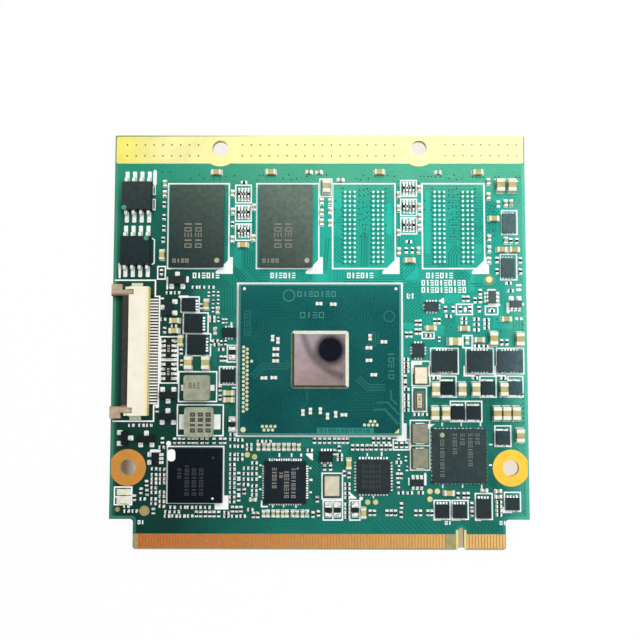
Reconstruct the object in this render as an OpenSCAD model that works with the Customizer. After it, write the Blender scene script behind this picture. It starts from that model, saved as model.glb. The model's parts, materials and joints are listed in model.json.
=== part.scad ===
/* [Board] */
// Width of the board along its contact edge
board_w = 70; // [70:0.5:73]
// Depth of the board from its contact edge to its thermal edge
board_l = 70; // [70:0.5:73]
// Thickness of the bare board
board_t = 1.2; // [1:0.1:1.6]
// Rounding of the board's outer corners
board_corner_r = 0.3; // [0.1:0.1:0.5]
// Width of the notch beside each end of the contact edge
notch_w = 4; // [3:0.1:4.4]
// Depth of the notch beside each end of the contact edge
notch_l = 5; // [4:0.1:5.3]
// Rounding in the inner corner of each notch
notch_r = 0.5; // [0.3:0.1:1]
// Width of the key slot in the contact edge
key_w = 0.9; // [0.8:0.1:1.2]
// Depth of the key slot
key_l = 3.7; // [3:0.05:4]
// Distance of the key slot's centre from the right side
key_inset = 11.4; // [11.3:0.05:11.8]
// Chamfer at the corners of the contact edge and at the mouth of the key slot
mouth = 0.35; // [0.2:0.05:0.4]
// Bevel along the contact edge
bevel = 0.2; // [0.1:0.05:0.3]

/* [Mounting holes] */
// Diameter of the four mounting holes
hole_d = 2.7; // [2.4:0.1:3]
// Inset of the two lower holes from the board's sides
lower_hole_inset = 3; // [2.8:0.1:3.1]
// Height of the two lower holes above the contact edge
lower_hole_y = 13.5; // [13.3:0.1:13.7]
// Inset of the two upper holes from the board's sides
upper_hole_inset = 18; // [17.5:0.1:18.5]
// Distance of the two upper holes from the thermal edge
upper_hole_drop = 2.25; // [2.1:0.05:2.5]
// Outer diameter of the bare ring round each lower hole
ring_d = 6.1; // [5.4:0.1:6.4]
// Diameter of the bulge of the thermal strip round each upper hole
bulge_d = 6.3; // [5.6:0.1:6.6]

/* [Bare gold] */
// Thickness of every bare gold area
gold_t = 0.05; // [0.03:0.01:0.1]
// Pitch of the edge contacts
contact_pitch = 0.5; // [0.45:0.05:0.6]
// Width of one edge contact
contact_w = 0.35; // [0.25:0.05:0.4]
// Length of one edge contact
contact_l = 2.3; // [2:0.1:3]
// Bare laminate between the left notch and the first contact's centre
contact_margin_left = 1.18; // [0.7:0.01:1.4]
// Least distance between the right notch and the last contact's centre
contact_margin_right = 0.3; // [0.25:0.05:1]
// Distance from the key slot's centre to the last contact on its left
key_gap_left = 2.9; // [2.2:0.05:3.1]
// Distance from the key slot's centre to the first contact on its right
key_gap_right = 1.08; // [1.03:0.01:1.3]
// Depth of the thermal strip
strip_l = 4.7; // [4.2:0.1:4.9]
// Bare laminate between the thermal strip and the board's edges
strip_margin = 0.2; // [0.1:0.05:0.4]
// Diameter of the vias in the thermal strip
strip_via_d = 0.3; // [0.2:0.05:0.4]
// Pitch of the vias in the thermal strip
strip_via_pitch = 1.524; // [1.4:0.01:1.6]
// Distance between the two rows of vias in the thermal strip
strip_via_rows = 1.9; // [1.6:0.1:2.2]
// Diameter of a pad at an unused memory place
site_pad_d = 0.32; // [0.24:0.02:0.4]

/* [Processor] */
// Width of the processor's substrate
cpu_w = 27; // [25:0.5:27.5]
// Depth of the processor's substrate
cpu_l = 25; // [24.6:0.2:25.4]
// Thickness of the processor's substrate
cpu_t = 0.75; // [0.6:0.05:1]
// Height of the solder joints under the processor
cpu_ball_h = 0.35; // [0.25:0.05:0.45]
// Pitch of the solder joints under the processor
cpu_ball_pitch = 0.8; // [0.65:0.05:1]
// Width of the bare die
die_w = 8.5; // [8:0.1:8.8]
// Depth of the bare die
die_l = 8.5; // [8:0.1:8.8]
// Height of the bare die above its substrate
die_t = 0.4; // [0.3:0.05:0.6]
// Width of the underfill bead round the die
bead_w = 0.6; // [0.4:0.1:0.8]

/* [Memory] */
// Width of a memory chip
ram_w = 9; // [8.6:0.1:9.4]
// Depth of a memory chip
ram_l = 14; // [13.4:0.1:14.2]
// Thickness of a memory chip's moulded body
ram_t = 0.8; // [0.6:0.05:1]
// Height of the solder balls under the ball-grid chips
ball_h = 0.35; // [0.25:0.05:0.45]
// Pitch of the solder balls under the ball-grid chips
ball_pitch = 0.8; // [0.75:0.05:0.8]
// Width of a flash chip's moulded body
flash_w = 5.3; // [4.8:0.1:5.4]
// Depth of a flash chip's moulded body
flash_l = 5; // [4.8:0.1:5.3]
// Height of a flash chip's top above the board
flash_h = 1.9; // [1.6:0.1:2.2]
// Pitch of a flash chip's leads
flash_pitch = 1.27; // [1.2:0.01:1.3]
// Overall span of a flash chip's leads
flash_span = 8; // [7.7:0.1:8]

/* [Flat-cable connector] */
// Number of contacts in the flat-cable connector
ffc_contacts_n = 36; // [30:1:36]
// Pitch of the contacts in the flat-cable connector
ffc_pitch = 0.5; // [0.45:0.01:0.5]
// Height of the connector's housing
ffc_h = 1.9; // [1.8:0.1:2.4]
// Depth of the connector's housing from the cable side to the tail side
ffc_l = 3.3; // [3.3:0.05:3.7]
// Housing length beyond the last contact at each end
ffc_end = 2.05; // [1.9:0.05:2.2]
// Thickness of the housing's top wall
ffc_roof = 0.35; // [0.25:0.05:0.45]
// Thickness of the housing's floor
ffc_floor = 0.4; // [0.3:0.05:0.5]
// Width of one contact
ffc_contact_w = 0.2; // [0.16:0.02:0.24]
// Length of the contact tails beyond the housing
ffc_tail = 1.35; // [0.9:0.05:1.4]
// Running clearance round the slide lock
slide_gap = 0.08; // [0.05:0.01:0.12]
// How far the slide lock's bar stands out of the housing
slide_bar = 1.1; // [0.9:0.1:1.2]
// How far the slide lock's ears stand out of the housing
slide_ear = 3.05; // [2.5:0.05:3.1]

/* [Leadless chips] */
// Height of the leadless chips
qfn_h = 0.85; // [0.7:0.05:1]
// Height of the body of a leadless chip above the board
qfn_gap = 0.05; // [0.03:0.01:0.08]
// How far a solder land runs out beyond a leadless body
land_out = 0.35; // [0.25:0.05:0.4]
// How far a solder land runs out beyond the power manager's body
flush_land_out = 0.15; // [0.1:0.05:0.25]
// How far a solder land runs in under a leadless body
land_in = 0.3; // [0.2:0.05:0.4]

/* [Chip components] */
// Length of a chip resistor
tiny_l = 0.8; // [0.7:0.05:0.85]
// Width of a chip resistor
tiny_w = 0.4; // [0.3:0.05:0.45]
// Height of a chip resistor
tiny_h = 0.35; // [0.25:0.05:0.45]
// Length of a small chip component
small_l = 1; // [0.9:0.05:1.05]
// Width of a small chip component
small_w = 0.5; // [0.4:0.05:0.55]
// Height of a small chip component
small_h = 0.5; // [0.35:0.05:0.6]
// Length of a medium chip component
medium_l = 1.6; // [1.5:0.05:1.7]
// Width of a medium chip component
medium_w = 0.8; // [0.7:0.05:0.9]
// Height of a medium chip component
medium_h = 0.8; // [0.6:0.05:0.9]
// Length of a large chip component
large_l = 2.1; // [1.9:0.05:2.2]
// Width of a large chip component
large_w = 1.25; // [1.1:0.05:1.35]
// Height of a large chip component
large_h = 1.25; // [0.8:0.05:1.4]
// Share of a small component's length taken by one end cap
small_share = 0.25; // [0.2:0.01:0.3]
// Share of a medium component's length taken by one end cap
medium_share = 0.2; // [0.15:0.01:0.25]
// Share of a large component's length taken by one end cap
large_share = 0.28; // [0.2:0.01:0.3]
// Length of the solder fillet at the foot of an end cap, as a share of the component's length
fillet_share = 0.12; // [0.05:0.01:0.13]

/* [Wound parts] */
// Height of the two large chokes
choke_h = 2; // [1.6:0.1:2.6]
// Width of a black power inductor
inductor_w = 2.25; // [2:0.05:2.3]
// Depth of a black power inductor
inductor_l = 2.3; // [2.1:0.05:2.5]
// Height of a black power inductor
inductor_h = 1.2; // [1:0.1:1.4]
// Length of a grey ferrite inductor
ferrite_l = 3.2; // [3:0.1:3.3]
// Width of a grey ferrite inductor
ferrite_w = 2.5; // [2.2:0.1:2.6]
// Height of a grey ferrite inductor
ferrite_h = 1.6; // [1.3:0.1:1.8]

/* [Hidden] */

$fn = 32;

// Every place is given in millimetres from the board's left side and contact edge. A negative X
// counts from the right side instead, and a negative Y from the thermal edge, so that what lies
// near those keeps its distance from them when the board grows
function spot(p) = [
    p[0] < 0 ? board_w + p[0] : p[0],
    p[1] < 0 ? board_l + p[1] : p[1]
];

// Places of like parts: p[2] turns a part, counterclockwise in degrees
H = 0;
V = 90;
function row(x, y, n, pitch, turn) = [for (i = [0:n - 1]) [x + i * pitch, y, turn]];
function column(x, y, n, pitch, turn) = [for (i = [0:n - 1]) [x, y - i * pitch, turn]];
function across(xs, y, turn) = [for (x = xs) [x, y, turn]];
function down(x, ys, turn) = [for (y = ys) [x, y, turn]];

// Chip component sizes: length, width, height, share of the length taken by one end cap
small = [small_l, small_w, small_h, small_share];
medium = [medium_l, medium_w, medium_h, medium_share];
large = [large_l, large_w, large_h, large_share];
tiny = [tiny_l, tiny_w, tiny_h, small_share];
big_resistor = [2, 1, 0.7, 0.28];
cpu_cap = [0.95, 0.5, 0.35, small_share];

// Large capacitors
large_places = [
    [36.2, -9, V], [-4.25, -8.8, V], [-2.3, -8.8, V], [-5.7, 35.1, V], [-1.3, 35, V],
    [-12.2, 34.6, H], [-15.5, 26.6, V], [-11.1, 26.6, V], [-8.8, 26.6, V], [-4.1, 26.6, V],
    [-15.65, 22.6, V], [-13.85, 22.6, V], [-5.25, 22.6, V], [-3.7, 22.6, V], [-2.1, 22.6, V],
    [-1.5, 18.9, V], [13, 31, V], [15.9, 31, V]
];
// Medium capacitors
medium_places = [
    [17.4, -6.5, H], [26.7, -6.45, H], [45.2, -6.45, H], [-8, -6.5, H], [22, -19, H],
    [-19.7, -21.6, H], [-5.4, -14.5, H], [-10.6, 36.8, H], [-8.1, 34.9, H], [-16.2, 36.9, H],
    [-4.1, -19.8, H], [-2, -19.8, H], [-3.5, 38.4, H], [10.6, 38.1, H], [10.5, 36.4, H],
    [11.6, 34.7, V], [-13.4, 9.4, H], [39.95, 14.2, V], [8.3, -20.7, V], [19.8, 25.95, H],
    [19.8, 24.8, H], [15.9, 40.85, V], [42.4, 6.1, V]
];
// Small capacitors
small_places = concat(
    [[33.2, -6.45, H], [34.9, -6.45, H], [-14.8, -6.5, H]],
    down(8.6, [-8.4, -10.2], V),
    down(20.2, [-10.1, -13.2, -18], V), down(23.8, [-12.5, -17.8], V),
    down(35.4, [-11.5, -13.4, -15.1], V), down(36.8, [-11.6, -13.1, -15.2], V),
    [[38.6, -7.8, H]], down(48.5, [-10.4, -12.7, -16.9, -20], V),
    down(-17.95, [-9.3, -12.4, -14.2, -16], V), [[-18.2, -19.9, V]],
    down(-6.2, [-8.1, -10.6, -17.8, -19.7, -21.6], V), down(-3.3, [-11.8], V), down(-2.4, [-11.8], V),
    [[17.8, 39.9, V], [17.4, 36.4, V], [24, 8.25, H], [-10.1, 34.8, V], [-3.4, -18.2, V]],
    [[-7.5, 9.8, H], [-5.2, 9.7, H], [-5.2, 8.8, H]],
    across([25.8, 26.5, 27.4, 28.15, 28.95, 29.65, 30.6, 31.35, 32.25, 33], 5.95, V),
    across([24.85, 25.8, 26.55, 27.4, 28.2, 29.1, 29.9, 30.8, 31.6], 16.95, V)
);
// Small resistors
resistor_places = concat(
    down(7.42, [13.3, 12.3, 11.6, 10.95, 10.15, 9.4, 8.3, 7.55], H),
    down(8.8, [13.2, 12.3, 11.6, 10.95, 9.45, 8.75, 7.9, 7.1], H),
    down(20.5, [15.7, 14.9, 14, 13.25, 12.5, 11.75, 11, 10.25, 9.4, 8.65, 7.9], H),
    down(22.8, [13.4, 12.5, 11.6, 10.7], H), down(24.2, [14.3, 13.4, 12.5, 11.6, 10.5, 9.7], H),
    // Round the control chip
    across([9.7, 10.95, 12.25, 13.55], 5.5, H), across([9.75, 11.3], 6.2, H),
    across([10.6, 12.35, 13.5, 14.9, 16.4], 6.95, H),
    across([14.6, 15.3, 16.1, 16.8, 17.5, 18.3], 5.85, V),
    across([10.8, 11.6, 12.3, 13.2, 13.9, 14.5, 15.4, 16.2, 17.4, 18.5, 19.2], 17.95, V),
    across([3.5, 5.2, 6.5], 20.5, H), across([2.95, 4.3], 6.3, H),
    [[8.65, 16.85, H], [5.6, 8.3, H], [2.9, 7.1, H], [4.2, 8.5, V], [5.3, 9.65, V]],
    [[6.2, 10.9, V], [6.3, 9.4, V], [7.4, 6.3, V], [8.75, 18, V], [7.8, 23.2, V]],
    // Round the bridge chip
    across([19.6, 20.9, 22.3], 5.5, H), across([20.6, 21.3, 22], 6.65, V), across([24.1, 24.8], 5.7, V),
    across([20.5, 21.8], 17.05, H), across([25.1, 26.5], 17.85, H), down(20.5, [19, 18.2], H),
    down(23.3, [17.3, 16.6], H), down(21.8, [18.1, 15.7, 14.9], H),
    down(21.6, [12.25, 11.15, 9.55, 8.45], V),
    [[19.6, 6.1, H], [23.55, 6.6, H], [33.45, 16.4, H], [24.2, 9, H]],
    [[34, 5.8, V], [34.9, 6, V], [22.5, 9.6, V], [34.7, 8.3, V]],
    // Round the clock chip
    down(39.7, [10.8, 10.1, 9.3, 8.6, 7.5, 6.8, 6.1, 5.4], H), down(38.45, [15.6, 14.9], H),
    across([43.5, 44.2, 46.3, 47, 47.7, -18.9, -18.15, -16.9, -16.25], 6.1, V),
    across([40.6, 41.4, 42.2, 43, 43.7, 44.5, 45.4, 46.2, 46.9], 16.9, V),
    across([34.2, 35.1, 35.9, 36.7, 37.6, 38.3, 39, 39.7], 18, V),
    across([44.1, 44.9, 45.8, 46.7], 18.05, V), across([47.9, 48.8, -20.4], 17.3, V),
    across([48.6, -19.9, -18.1], 9.4, H), across([48.1, 48.7], 12.2, V),
    [[40, 12.3, V], [39.2, 12.6, V], [48.2, 10.7, V], [48.7, 7.3, V], [48.65, 5.8, V]],
    [[35.9, 13.55, V], [36.9, 13.55, V], [37.6, 16.1, V], [38.4, 16.7, V], [48.3, 14.4, H]],
    // Round the power manager
    down(-9.6, [7.4, 6.05], V), down(-5.1, [7.9, 7.2, 6.5, 5.8], H), across([-11.85, -10.9, -10.2], 9, V),
    // Left of the processor
    across([18.5, 19.1], 31.7, V), down(18.35, [26.7, 25.2], V), down(8.5, [-12, -14.2, -16.1], V),
    across([9.5, 10.9], 42.85, H), across([13.9, 15.1, 16.7], 43.8, H), down(16.9, [38.7, 38.1], H),
    [[8.85, 36.5, V], [15, 40.55, V], [8.4, -18.1, V], [8.2, -23.65, V], [11.7, 32.9, V], [11.8, 31, V]],
    [[20.2, -15.4, V], [18.45, 33.25, H], [17.5, 34.7, H], [17.7, 34.05, H], [8.6, 38.35, H]],
    [[10.45, 37.2, H], [22.1, -8.2, H]],
    // Right of the processor
    down(-20.4, [31.6, 30.9, 30.3, 29.6, 26.6, 25.6, 25, 24.3, 23.8, 23.1], H),
    down(-20.55, [28.5, 27.4], V),
    across([-20.25, -19.55], 35.8, V), across([-18.65, -18], 37.8, V), across([-18.65, -18], 36.3, V),
    across([-18.7, -17.3], 22.4, H), across([-15.45, -8.85, -4.1], 28.5, H), across([-8.5, -7], 33.85, H),
    across([-4.3, -3.4], 34.5, V), across([-20.25, -19.25], -19.9, V), [[-19.8, -18.4, H]],
    // Round the flat regulators at the right
    across([-13.7, -12.4, -11.2, -9.6, -8], 40.1, V), across([-10.6, -9.9], 41.85, V),
    down(-7.8, [43, 41.65], V),
    across([-15.5, -14.8], 38.05, V), down(-10.6, [38.5, 37.8], H), down(-8.5, [38.4, 37.5, 36.6], H),
    down(-6.8, [38.3, 37.6, 36.9], H), down(-4.9, [-21.55, -23.5], V), down(-0.95, [-21.6, -23.5], V),
    across([-2.5, -1.5], -18.3, V),
    [[-8.7, 41.6, V], [-13.2, 38.9, H], [-5.9, 39.85, H], [-16.65, 35.65, H]],
    [[-3, 44.5, H], [-2.7, 43.25, H]]
);
// Larger resistors
big_resistor_places = [
    [36.55, 6.6, V], [38.05, 6.6, V], [41, 6.6, V], [20.35, 32.75, V], [20.4, 20.7, V]
];
// Four-element arrays: place, turn, pitch of the elements, length across the elements
array_places = [
    [22.1, -10.25, H, 0.53, 1.1], [22.1, -13.4, H, 0.53, 1.1], [22.1, -16.6, H, 0.53, 1.1],
    [-19.8, -9.2, H, 0.53, 1.1], [-19.8, -12.4, H, 0.53, 1.1], [-19.8, -15.6, H, 0.53, 1.1],
    [9.65, 33.45, V, 0.8, 1.6], [9.65, 29.55, V, 0.8, 1.6]
];

// Memory chips and the two memory places left empty
memory_y = -15.8;
memory_left_x = 14.3;
memory_right_x = 29.35;
empty_site_xs = [42.6, -12.15];
site_columns = 6;
site_rows = 16;

// Flash chips
flash_places = [[4.05, -10.7], [3.95, -20.05]];

// Processor
cpu_x = 35.1;
cpu_y = 31.5;

module on_top() {
    translate([-board_w / 2, -lower_hole_y, board_t]) children();
}

module underneath() {
    translate([-board_w / 2, -lower_hole_y, 0]) mirror([0, 0, 1]) children();
}

module at(p) {
    translate([spot(p)[0], spot(p)[1], 0]) rotate([0, 0, len(p) > 2 ? p[2] : 0]) children();
}

module rounded(w, l, r) {
    union() {
        translate([r, 0]) square([w - 2 * r, l]);
        translate([0, r]) square([w, l - 2 * r]);
        for (x = [r, w - r], y = [r, l - r]) translate([x, y]) circle(r = r);
    }
}

module slab(w, l, low, high) {
    translate([-w / 2, -l / 2, low]) cube([w, l, high - low]);
}

// Board

key_x = board_w - key_inset;
lower_hole_xs = [lower_hole_inset, board_w - lower_hole_inset];
upper_hole_xs = [upper_hole_inset, board_w - upper_hole_inset];
upper_hole_y = board_l - upper_hole_drop;

module holes(d) {
    for (x = lower_hole_xs) translate([x, lower_hole_y]) circle(d = d);
    for (x = upper_hole_xs) translate([x, upper_hole_y]) circle(d = d);
}

module notch() {
    square([notch_w - notch_r, notch_l]);
    square([notch_w, notch_l - notch_r]);
    translate([notch_w - notch_r, notch_l - notch_r]) circle(r = notch_r);
    polygon([[0, 0], [notch_w + mouth, 0], [notch_w, mouth], [0, mouth]]);
}

module key_slot() {
    translate([key_x - key_w / 2, 0]) square([key_w, key_l - key_w / 2]);
    translate([key_x, key_l - key_w / 2]) circle(d = key_w);
    translate([key_x, 0]) polygon([
        [-key_w / 2 - mouth, 0], [key_w / 2 + mouth, 0], [key_w / 2, mouth], [-key_w / 2, mouth]
    ]);
}

module circuit_board() {
    edge = bevel * sqrt(2);
    color("seagreen") translate([-board_w / 2, -lower_hole_y, 0]) difference() {
        linear_extrude(board_t) difference() {
            rounded(board_w, board_l, board_corner_r);
            notch();
            translate([board_w, 0]) mirror([1, 0]) notch();
            key_slot();
            holes(hole_d);
        }
        for (z = [0, board_t]) translate([board_w / 2, 0, z]) rotate([45, 0, 0])
            cube([board_w, edge, edge], center = true);
    }
}

module edge_contacts() {
    start = bevel + contact_w / 4;
    left_x = notch_w + contact_margin_left;
    left_n = 1 + floor((key_x - key_gap_left - left_x) / contact_pitch + 0.01);
    right_x = key_x + key_gap_right;
    right_n = 1 + floor((board_w - notch_w - contact_margin_right - right_x) / contact_pitch + 0.01);
    for (i = [0:left_n - 1]) translate([left_x + i * contact_pitch - contact_w / 2, start, 0])
        cube([contact_w, contact_l, gold_t]);
    for (i = [0:right_n - 1]) translate([right_x + i * contact_pitch - contact_w / 2, start, 0])
        cube([contact_w, contact_l, gold_t]);
}

module edge_contacts_top() {
    color("peru") on_top() edge_contacts();
}

module edge_contacts_underside() {
    color("peru") underneath() edge_contacts();
}

// Number of vias to the left of, between and to the right of the upper holes
strip_vias = [9, 18, 9];
// Places of the first via in each of those runs
strip_via_starts = [2.05, 21.8, -13.5];
// Distance of the vias' middle line below the holes' centres
strip_via_drop = 0.35;

module thermal_strip() {
    top = board_l - strip_margin;
    via_y = upper_hole_y - strip_via_drop;
    linear_extrude(gold_t) difference() {
        intersection() {
            union() {
                translate([strip_margin, top - strip_l])
                    rounded(board_w - 2 * strip_margin, strip_l, board_corner_r);
                for (x = upper_hole_xs) translate([x, upper_hole_y]) circle(d = bulge_d);
            }
            translate([strip_margin, 0]) square([board_w - 2 * strip_margin, top]);
        }
        holes(hole_d);
        for (run = [0:2], i = [0:strip_vias[run] - 1], side = [-1, 1])
            translate([
                spot([strip_via_starts[run], 0])[0] + i * strip_via_pitch,
                via_y + side * strip_via_rows / 2
            ]) circle(d = strip_via_d);
    }
}

module thermal_strip_top() {
    color("khaki") on_top() thermal_strip();
}

module thermal_strip_underside() {
    color("khaki") underneath() thermal_strip();
}

module mounting_rings() {
    linear_extrude(gold_t) difference() {
        intersection() {
            for (x = lower_hole_xs) translate([x, lower_hole_y]) circle(d = ring_d);
            translate([strip_margin, 0]) square([board_w - 2 * strip_margin, board_l]);
        }
        holes(hole_d);
    }
}

module mounting_rings_top() {
    color("goldenrod") on_top() mounting_rings();
}

module mounting_rings_underside() {
    color("goldenrod") underneath() mounting_rings();
}

// Round gold pads that carry nothing: place and diameter
gold_pads = [
    [-16.55, 9.65, 0.9], [-15.3, 9.65, 0.9], [-16.55, 8.35, 0.9], [43.1, 7.85, 0.85],
    [44.4, 7.85, 0.85], [23, 15.65, 0.9], [24.2, 15.3, 0.9], [-6.25, -24.85, 1],
    [5.9, 6.35, 1], [1.4, 6.6, 0.8]
];

module bare_pads() {
    color("khaki") on_top() {
        for (p = gold_pads) at([p[0], p[1]]) cylinder(d = p[2], h = gold_t);
        for (x = empty_site_xs) at([x, memory_y]) memory_grid()
            cylinder(d = site_pad_d, h = gold_t);
    }
}

// A memory chip's field of joints: two blocks of three columns beside a bare middle lane
module memory_grid() {
    for (side = [-1, 1], i = [2:site_columns / 2 + 1], j = [0:site_rows - 1])
        translate([side * i * ball_pitch, (j - (site_rows - 1) / 2) * ball_pitch, 0])
            children();
}

// Solder ball squeezed into a barrel between a chip and the board
module solder_ball(gap) {
    rotate_extrude() polygon([[0, 0], [gap * 0.4, 0], [gap * 0.65, gap / 2], [gap * 0.4, gap], [0, gap]]);
}

// The two outer rings of a square field of joints
module outer_rings(nx, ny, pitch) {
    for (i = [0:nx - 1], j = [0:ny - 1])
        if (min(i, j, nx - 1 - i, ny - 1 - j) < 2)
            translate([(i - (nx - 1) / 2) * pitch, (j - (ny - 1) / 2) * pitch, 0]) children();
}

// Processor

cpu_top = cpu_ball_h + cpu_t;
cpu_corner_r = 0.3;
cpu_ball_margin = 1;

module at_cpu() {
    on_top() at([cpu_x, cpu_y]) children();
}

module cpu_substrate() {
    color("darkslategray") at_cpu() translate([-cpu_w / 2, -cpu_l / 2, cpu_ball_h])
        linear_extrude(cpu_t) rounded(cpu_w, cpu_l, cpu_corner_r);
}

module cpu_die() {
    color("silver") at_cpu() translate([0, 0, cpu_top]) slab(die_w, die_l, 0, die_t);
}

// Bead that wicks up the sides of the die and runs out thin on the substrate
module cpu_underfill() {
    foot = bead_w * 0.15;
    color("dimgray") at_cpu() translate([0, 0, cpu_top]) difference() {
        hull() {
            translate([-die_w / 2 - bead_w, -die_l / 2 - bead_w, 0]) linear_extrude(foot)
                rounded(die_w + 2 * bead_w, die_l + 2 * bead_w, bead_w);
            slab(die_w + 0.1, die_l + 0.1, 0, die_t * 0.7);
        }
        slab(die_w, die_l, -1, die_t + 1);
    }
}

// Places on the substrate of its small capacitors, from the board's corner
cpu_cap_places = [
    [34.95, 40.9, H], [37.35, 40.8, H], [27.2, 35.1, V], [28.1, 34.7, V], [27.75, 33.3, H],
    [27.7, 32.3, H], [27.7, 31.3, H], [25.75, 28.45, H], [27.4, 28.5, H], [32.3, 22.7, V],
    [33.55, 22.95, V], [35.2, 23, V], [36.4, 22.1, V], [37.75, 22.4, V], [39.1, 22.35, H],
    [43.5, 35.25, V], [45.8, 34.5, H], [43.3, 33.5, H], [43.3, 31.4, H], [44.1, 29, H]
];

// Rows of gold dots on the substrate: place of the first dot, number, step along X and Y
cpu_dot_rows = [
    [22.35, 33.6, 16, 0, -0.713], [22.95, 33.25, 15, 0, -0.713], [23.7, 31.25, 1, 0, 0],
    [25.55, 20.4, 4, 0.7, 0], [25.85, 19.8, 3, 0.7, 0], [42.55, 20.65, 4, 0.7, 0],
    [43.55, 21.25, 2, 0.7, 0]
];
cpu_dot_d = 0.52;
cpu_mark_d = 0.9;
cpu_mark_inset = [0.75, 0.85];
// Three-cornered mark at the lower right: inset from the substrate's corner, length of its sides
cpu_corner_mark = [1.1, 0.3, 0.8];

module cpu_capacitor_bodies() {
    color("wheat") on_top() for (p = cpu_cap_places) at(p) translate([0, 0, cpu_top])
        chip_body(cpu_cap);
}

module cpu_capacitor_ends() {
    color("silver") on_top() for (p = cpu_cap_places) at(p) translate([0, 0, cpu_top])
        chip_ends(cpu_cap);
}

module cpu_contact_dots() {
    color("khaki") {
        on_top() for (r = cpu_dot_rows, i = [0:r[2] - 1])
            translate([r[0] + i * r[3], r[1] + i * r[4], cpu_top])
                cylinder(d = cpu_dot_d, h = gold_t);
        at_cpu() translate([cpu_mark_inset[0] - cpu_w / 2, cpu_mark_inset[1] - cpu_l / 2, cpu_top])
            cylinder(d = cpu_mark_d, h = gold_t);
        at_cpu()
            translate([cpu_w / 2 - cpu_corner_mark[0], cpu_corner_mark[1] - cpu_l / 2, cpu_top])
                linear_extrude(gold_t)
                    polygon([[0, 0], [cpu_corner_mark[2], 0], [cpu_corner_mark[2], cpu_corner_mark[2]]]);
    }
}

module cpu_solder_balls() {
    nx = 1 + floor((cpu_w - 2 * cpu_ball_margin) / cpu_ball_pitch);
    ny = 1 + floor((cpu_l - 2 * cpu_ball_margin) / cpu_ball_pitch);
    color("silver") at_cpu() outer_rings(nx, ny, cpu_ball_pitch) solder_ball(cpu_ball_h);
}

// Memory

module memory_chip(x) {
    color("dimgray") on_top() at([x, memory_y]) slab(ram_w, ram_l, ball_h, ball_h + ram_t);
}

module memory_chip_left() {
    memory_chip(memory_left_x);
}

module memory_chip_right() {
    memory_chip(memory_right_x);
}

module memory_solder_balls() {
    color("silver") on_top() for (x = [memory_left_x, memory_right_x]) at([x, memory_y])
        memory_grid() solder_ball(ball_h);
}

// Moulded packages with bent leads

// Body whose four sides taper up and down from the parting line
module moulded_body(w, l, low, high, taper) {
    mid = (low + high) / 2;
    function section(s) = [
        [-s / 2 + taper, low], [s / 2 - taper, low], [s / 2, mid], [s / 2 - taper, high],
        [taper - s / 2, high], [-s / 2, mid]
    ];
    intersection() {
        rotate([90, 0, 0]) linear_extrude(l, center = true) polygon(section(w));
        rotate([90, 0, 90]) linear_extrude(w, center = true) polygon(section(l));
    }
}

// Gull-wing lead that leaves the body at a height and reaches out along +Y to its foot
module gull_lead(w, t, height, reach) {
    shoulder = reach * 0.3;
    foot = reach * 0.45;
    rotate([90, 0, 90]) linear_extrude(w, center = true) polygon([
        [0, height - t / 2], [shoulder - t / 2, height - t / 2], [reach - foot - t / 2, 0],
        [reach, 0], [reach, t], [reach - foot + t / 2, t], [shoulder + t / 2, height + t / 2],
        [0, height + t / 2]
    ]);
}

flash_lead_w = 0.48;
flash_lead_t = 0.2;
flash_leads_n = 4;
flash_standoff = 0.1;
flash_taper = 0.2;

module flash_chip_bodies() {
    color("dimgray") on_top() for (p = flash_places) at(p)
        moulded_body(flash_w, flash_l, flash_standoff, flash_h, flash_taper);
}

module flash_chip_leads() {
    reach = (flash_span - flash_l) / 2;
    mid = (flash_standoff + flash_h) / 2;
    color("silver") on_top() for (p = flash_places) at(p) for (turn = [0, 180]) rotate([0, 0, turn])
        for (i = [0:flash_leads_n - 1])
            translate([(i - (flash_leads_n - 1) / 2) * flash_pitch, flash_l / 2, 0])
                gull_lead(flash_lead_w, flash_lead_t, mid, reach);
}

// Small transistors and chips with bent leads: place, turn, body width, body depth, leads on the
// far side, leads on the near side, pitch of the leads
transistor_places = [
    [10.9, 45, 0, 2.9, 1.4, 1, 2, 0.95], [9.55, 40.4, 90, 2.9, 1.3, 1, 2, 0.95],
    [9.6, 25.55, 180, 2.9, 1.2, 1, 2, 0.95], [9.6, 22, 0, 2.9, 1.2, 1, 2, 0.95],
    [2.5, 18.4, 270, 2.3, 1.2, 1, 2, 0.9], [6.05, 18.25, 0, 2.9, 1.2, 1, 2, 0.95],
    [-18.65, 11.1, 0, 2.1, 1.2, 3, 3, 0.7], [-5.85, 42.15, 90, 2.1, 1.3, 3, 3, 0.65],
    [-1.9, 40.95, 0, 2, 1.2, 2, 3, 0.65], [7.7, 15, 90, 2.1, 1.3, 2, 3, 0.65]
];
transistor_h = 1;
transistor_standoff = 0.08;
transistor_taper = 0.07;
transistor_lead = [0.45, 0.15];
transistor_reach = 0.6;

module transistor_bodies() {
    color("dimgray") on_top() for (p = transistor_places) at(p)
        moulded_body(p[3], p[4], transistor_standoff, transistor_h, transistor_taper);
}

// A side with fewer leads than the other keeps the outer places, or the middle one
module lead_side(n, most, pitch) {
    step = n > 1 ? pitch * (most - 1) / (n - 1) : 0;
    for (i = [0:n - 1]) translate([n == 1 ? 0 : (i - (n - 1) / 2) * step, 0, 0])
        gull_lead(transistor_lead[0], transistor_lead[1],
            (transistor_standoff + transistor_h) / 2, transistor_reach);
}

// Three-lead parts spread two leads over twice the pitch
module transistor_leads() {
    color("silver") on_top() for (p = transistor_places) at(p) {
        most = p[5] == 1 ? 3 : max(p[5], p[6]);
        translate([0, p[4] / 2, 0]) lead_side(p[5], most, p[7]);
        rotate([0, 0, 180]) translate([0, p[4] / 2, 0]) lead_side(p[6], most, p[7]);
    }
}

// Leadless packages

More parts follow.
